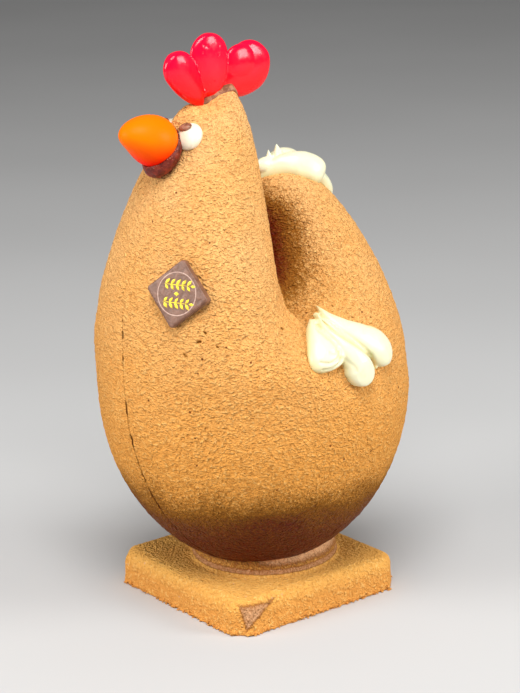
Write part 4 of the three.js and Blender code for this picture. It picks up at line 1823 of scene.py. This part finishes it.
@dataclass
class TailFeathers:
    """Three piped lobes that fan out from pulled tips on the tail's top."""

    lobes: tuple[TailLobe, ...] = (
        TailLobe(163, 27.5, 7.0, 8.4), TailLobe(180, 37.5, 6.2, 5.6), TailLobe(197, 27.5, 7.0, 8.4),
    )
    spikes: tuple[Spike, ...] = (Spike(11.6, 7.4, 3.6), Spike(16.2, 8.2, 5.4))
    voxel: float = 0.3
    inset: float = 0.12
    tip_y: float = 4.5
    pull: float = 1.0
    mound: tuple[float, float, float] = (2.6, 6.6, 3.6)
    mound_y: float = 9.5
    mound_up: float = 3.3
    spike_lean: float = 8.0
    shade_reach: float = 3.0

    def _slope(self, body: HenBody, bearing: float, distance: float) -> Vector:
        """The point of the tail's top at a distance from the lobes' tips.

        Args:
            body: The hen.
            bearing: The direction in degrees.
            distance: How far from the tips.

        Returns:
            The point.
        """
        x = distance * math.sin(math.radians(bearing))
        y = self.tip_y - distance * math.cos(math.radians(bearing))
        low, high = body.girth_height, body.tail_top
        for _ in range(24):
            middle = (low + high) / 2
            level = np.array([middle])
            off_axis = math.hypot(x, y - float(body.tail_centre(level)[0]))
            inside = off_axis < float(body.radius_at(level)[0])
            low, high = (middle, high) if inside else (low, middle)
        return Vector((x, y, low))

    def _spike(self, body: HenBody, spike: Spike) -> bpy.types.Object:
        """Shape one pulled tip.

        Args:
            body: The hen.
            spike: Its sizes.

        Returns:
            The spike.
        """
        form = ball("tail_spike", 24, 40)
        unit = points_of(form)
        level = (1 + unit[:, 2]) / 2
        rise = level * (spike.height + 4) - 4
        share = np.clip(rise / spike.height, 0, 1)
        radius = spike.radius * np.where(rise < 0, 1, (1 - share) ** 1.05 * 0.94 + 0.06)
        radius = np.where(level > 0.999, 0.02, radius) * np.where(level < 0.001, 0.02, 1)
        turn = np.arctan2(unit[:, 1], unit[:, 0])
        points = np.stack([radius * np.cos(turn) * 0.8, radius * np.sin(turn), rise], axis=-1)
        foot = self._slope(body, 180, spike.y - self.tip_y)
        move_points(form, turned(points, self.spike_lean) + [0, spike.y, foot.z + 2])
        return form

    def build(self, body: HenBody, skin: BVHTree) -> None:
        """Build the tail feathers.

        Args:
            body: The hen, for her tail's shape.
            skin: The tail's skin.
        """
        def outward_at(_: Vector) -> Vector:
            """The lobes all lie level, leaning a little to the rear."""
            return Vector((0, 0.25, 1)).normalized()

        forms = []
        for lobe in self.lobes:
            stations = [self._slope(body, lobe.bearing, 1 + lobe.reach * step / 4) for step in range(5)]
            forms.append(piped_lobe("tail_lobe", stations, outward_at, lobe.half_width, lobe.thickness,
                                    self.pull))
        foot = self._slope(body, 180, self.mound_y - self.tip_y) + Vector((0, 0, self.mound_up))
        forms.append(bulge("tail_mound", (40, 30), self.mound, foot))
        forms += [self._spike(body, spike) for spike in self.spikes]
        tail = fuse("piped_tail", forms, self.voxel, 2)
        raise_points(tail, 0.16 * ripple(points_of(tail), 4.0, 12.0) - self.inset)
        press_on(tail, skin)
        # Painted shade: yellower near the body.
        note(tail, "crease_shade", nearness(points_of(tail), skin, self.shade_reach))
        seat(tail, WHITE.material(), Slot.PIPED, "tail_feathers", sharp=75)


# ---------------------------------------------------------------- plaque


@dataclass
class Plaque:
    """A small square plate set as a diamond on the breast, with a printed leaf sprig."""

    height: float = 148.0
    bearing: float = 34.2
    thickness: float = 2.6
    voxel: float = 0.3
    circle_radius: float = 8.7
    line: float = 0.22
    print_rise: float = 0.06

    def _set(self, piece: bpy.types.Object, body: HenBody, rise: float) -> None:
        """Move a flat piece from the drawing plane on to the plate.

        Args:
            piece: The flat piece, in millimetres about the plate's centre.
            body: The hen.
            rise: How far it lies above the plate's back.
        """
        on_breast = body.frame_on(body.neck_point, self.height, math.radians(self.bearing))
        on_plate = on_breast @ Matrix.Translation((0, 0, rise))
        move_points(piece, placed_by(points_of(piece), on_plate))

    def _leaf(self, x: float, y: float, length: float, width: float, turn: float) -> bpy.types.Object:
        """Shape one printed leaf.

        Args:
            x: Its foot's place across.
            y: Its foot's place upward.
            length: Its length.
            width: Its half width.
            turn: Its direction in degrees.

        Returns:
            The leaf.
        """
        leaf = ball("leaf", 20, 14)
        unit = points_of(leaf)
        along = np.clip((1 + unit[:, 0]) / 2, 0, 1)
        full = np.sin(np.pi * along ** 0.8)
        points = np.stack([along * length, unit[:, 1] * width * full, unit[:, 2] * 0.07], axis=-1)
        move_points(leaf, turned(points, turn, "Z") + [x, y, 0])
        return leaf

    def build(self, body: HenBody) -> None:
        """Build the plate, its pale circle and the sprig.

        Args:
            body: The hen, for the place on her breast.
        """
        plate = fuse("plaque_plate", [copy_of_node("plaque", "plate_copy")], self.voxel, 2)
        note(plate, "froth", 0.0)
        seat(plate, PLAQUE.material(), Slot.PLAQUE, "plaque", sharp=40)
        bpy.ops.object.select_all(action="DESELECT")
        bpy.ops.mesh.primitive_torus_add(
            major_radius=self.circle_radius * MM, minor_radius=self.line * MM,
            major_segments=96, minor_segments=10)
        circle = named("plaque_circle")
        move_points(circle, points_of(circle) * [1, 1, 0.35])
        self._set(circle, body, self.thickness)
        note(circle, "froth", 0.0)
        seat(circle, CIRCLE.material(), Slot.PLAQUE)
        self._sprig(body)

    def _sprig(self, body: HenBody) -> None:
        """Build the print: two leafy sprigs that face each other, with a bud between them.

        Args:
            body: The hen, for the place on her breast.
        """
        parts = [self._leaf(-1.3, 0, 2.6, 0.7, 0), self._leaf(0, -1.0, 2.0, 0.45, 90)]
        for sign in (1, -1):
            parts.append(self._leaf(-6.9, 3.6 * sign, 13.8, 0.2, 0))
            for step in range(5):
                x = -5.6 + 2.5 * step
                parts.append(self._leaf(x, 3.7 * sign, 3.1, 0.7, 50 * sign))
                parts.append(self._leaf(x, 3.5 * sign, 2.6, 0.6, -52 * sign))
            parts.append(self._leaf(6.0, 3.6 * sign, 2.4, 0.6, 0))
        sprig = joined("plaque_sprig", parts)
        self._set(sprig, body, self.thickness + self.print_rise)
        seat(sprig, GOLD.material(), Slot.PLAQUE)


# ---------------------------------------------------------------- studio


@dataclass(frozen=True)
class SoftLight:
    """A soft panel: its place, its width, its power, its colour and what it faces."""

    name: str
    place: tuple[float, float, float]
    width: float
    power: float
    colour: Colour = (1.0, 1.0, 1.0)
    target: tuple[float, float, float] = (0.0, 0.0, 0.12)


@dataclass
class Studio:
    """A plain pale floor, soft light, and a camera at the photograph's viewing angle."""

    camera_place: tuple[float, float, float] = (0.71461, -0.55832, 0.37935)
    camera_right: tuple[float, float, float] = (0.6229, 0.7820, -0.0199)
    camera_up: tuple[float, float, float] = (-0.2116, 0.1930, 0.9581)
    lens: float = 2200 * 36 / 693
    sky: float = 0.17
    lights: tuple[SoftLight, ...] = (
        SoftLight("key_panel", (-0.3, -1.2, 0.6), 0.6, 11.6, (1.0, 0.98, 0.95)),
        SoftLight("top_panel", (0.55, -0.4, 1.2), 0.7, 17.6, (1.0, 1.0, 1.0)),
        SoftLight("right_panel", (1.1, 0.8, 0.6), 0.6, 14.0, (1.0, 1.0, 0.98)),
    )

    def build(self) -> None:
        """Set the floor, the lights, the sky and the camera."""
        bpy.ops.object.select_all(action="DESELECT")
        bpy.ops.mesh.primitive_plane_add(size=6.0)
        floor = named("studio_floor")
        plain = Recipe("pale_floor")
        tone = plain.blend(plain.grain(200, 1.0), linear(200, 200, 200), linear(192, 192, 192))
        plain.set(Base_Color=tone, Roughness=0.75)
        floor.data.materials.append(plain.material)
        for light in self.lights:
            panel = bpy.data.lights.new(light.name, "AREA")
            panel.size = light.width
            panel.energy = light.power
            panel.color = light.colour
            lamp = bpy.data.objects.new(light.name, panel)
            lamp.location = light.place
            aim = Vector(light.target) - Vector(light.place)
            lamp.rotation_euler = aim.to_track_quat("-Z", "Y").to_euler()
            bpy.context.scene.collection.objects.link(lamp)
        world = bpy.data.worlds.new("studio")
        world.use_nodes = True
        background = world.node_tree.nodes["Background"]
        background.inputs["Color"].default_value = (1.0, 0.99, 0.98, 1.0)
        background.inputs["Strength"].default_value = self.sky
        bpy.context.scene.world = world
        right, up = Vector(self.camera_right).normalized(), Vector(self.camera_up).normalized()
        lens = bpy.data.cameras.new("photo_camera")
        lens.lens = self.lens
        lens.sensor_width = 36
        lens.clip_start = 0.01
        camera = bpy.data.objects.new("photo_camera", lens)
        facing = Matrix((right, up, right.cross(up))).transposed().to_4x4()
        camera.matrix_world = Matrix.Translation(self.camera_place) @ facing
        bpy.context.scene.collection.objects.link(camera)
        bpy.context.scene.camera = camera
        bpy.context.scene.view_settings.view_transform = "Standard"
        LOG.info("studio: %d panels", len(self.lights))


def main() -> None:
    """Build the hen piece by piece, then the studio round her."""
    logging.basicConfig(level=logging.INFO, format="%(message)s")
    bpy.ops.object.select_all(action="DESELECT")
    body, beak = HenBody(), Beak()
    skin = body.build()
    Base().build(skin)
    beak.build(skin)
    Eyes().build(body, beak, skin)
    Comb().build(skin)
    Wings().build(body, skin)
    TailFeathers().build(body, skin)
    Plaque().build(body)
    Studio().build()


if __name__ == "__main__":
    main()
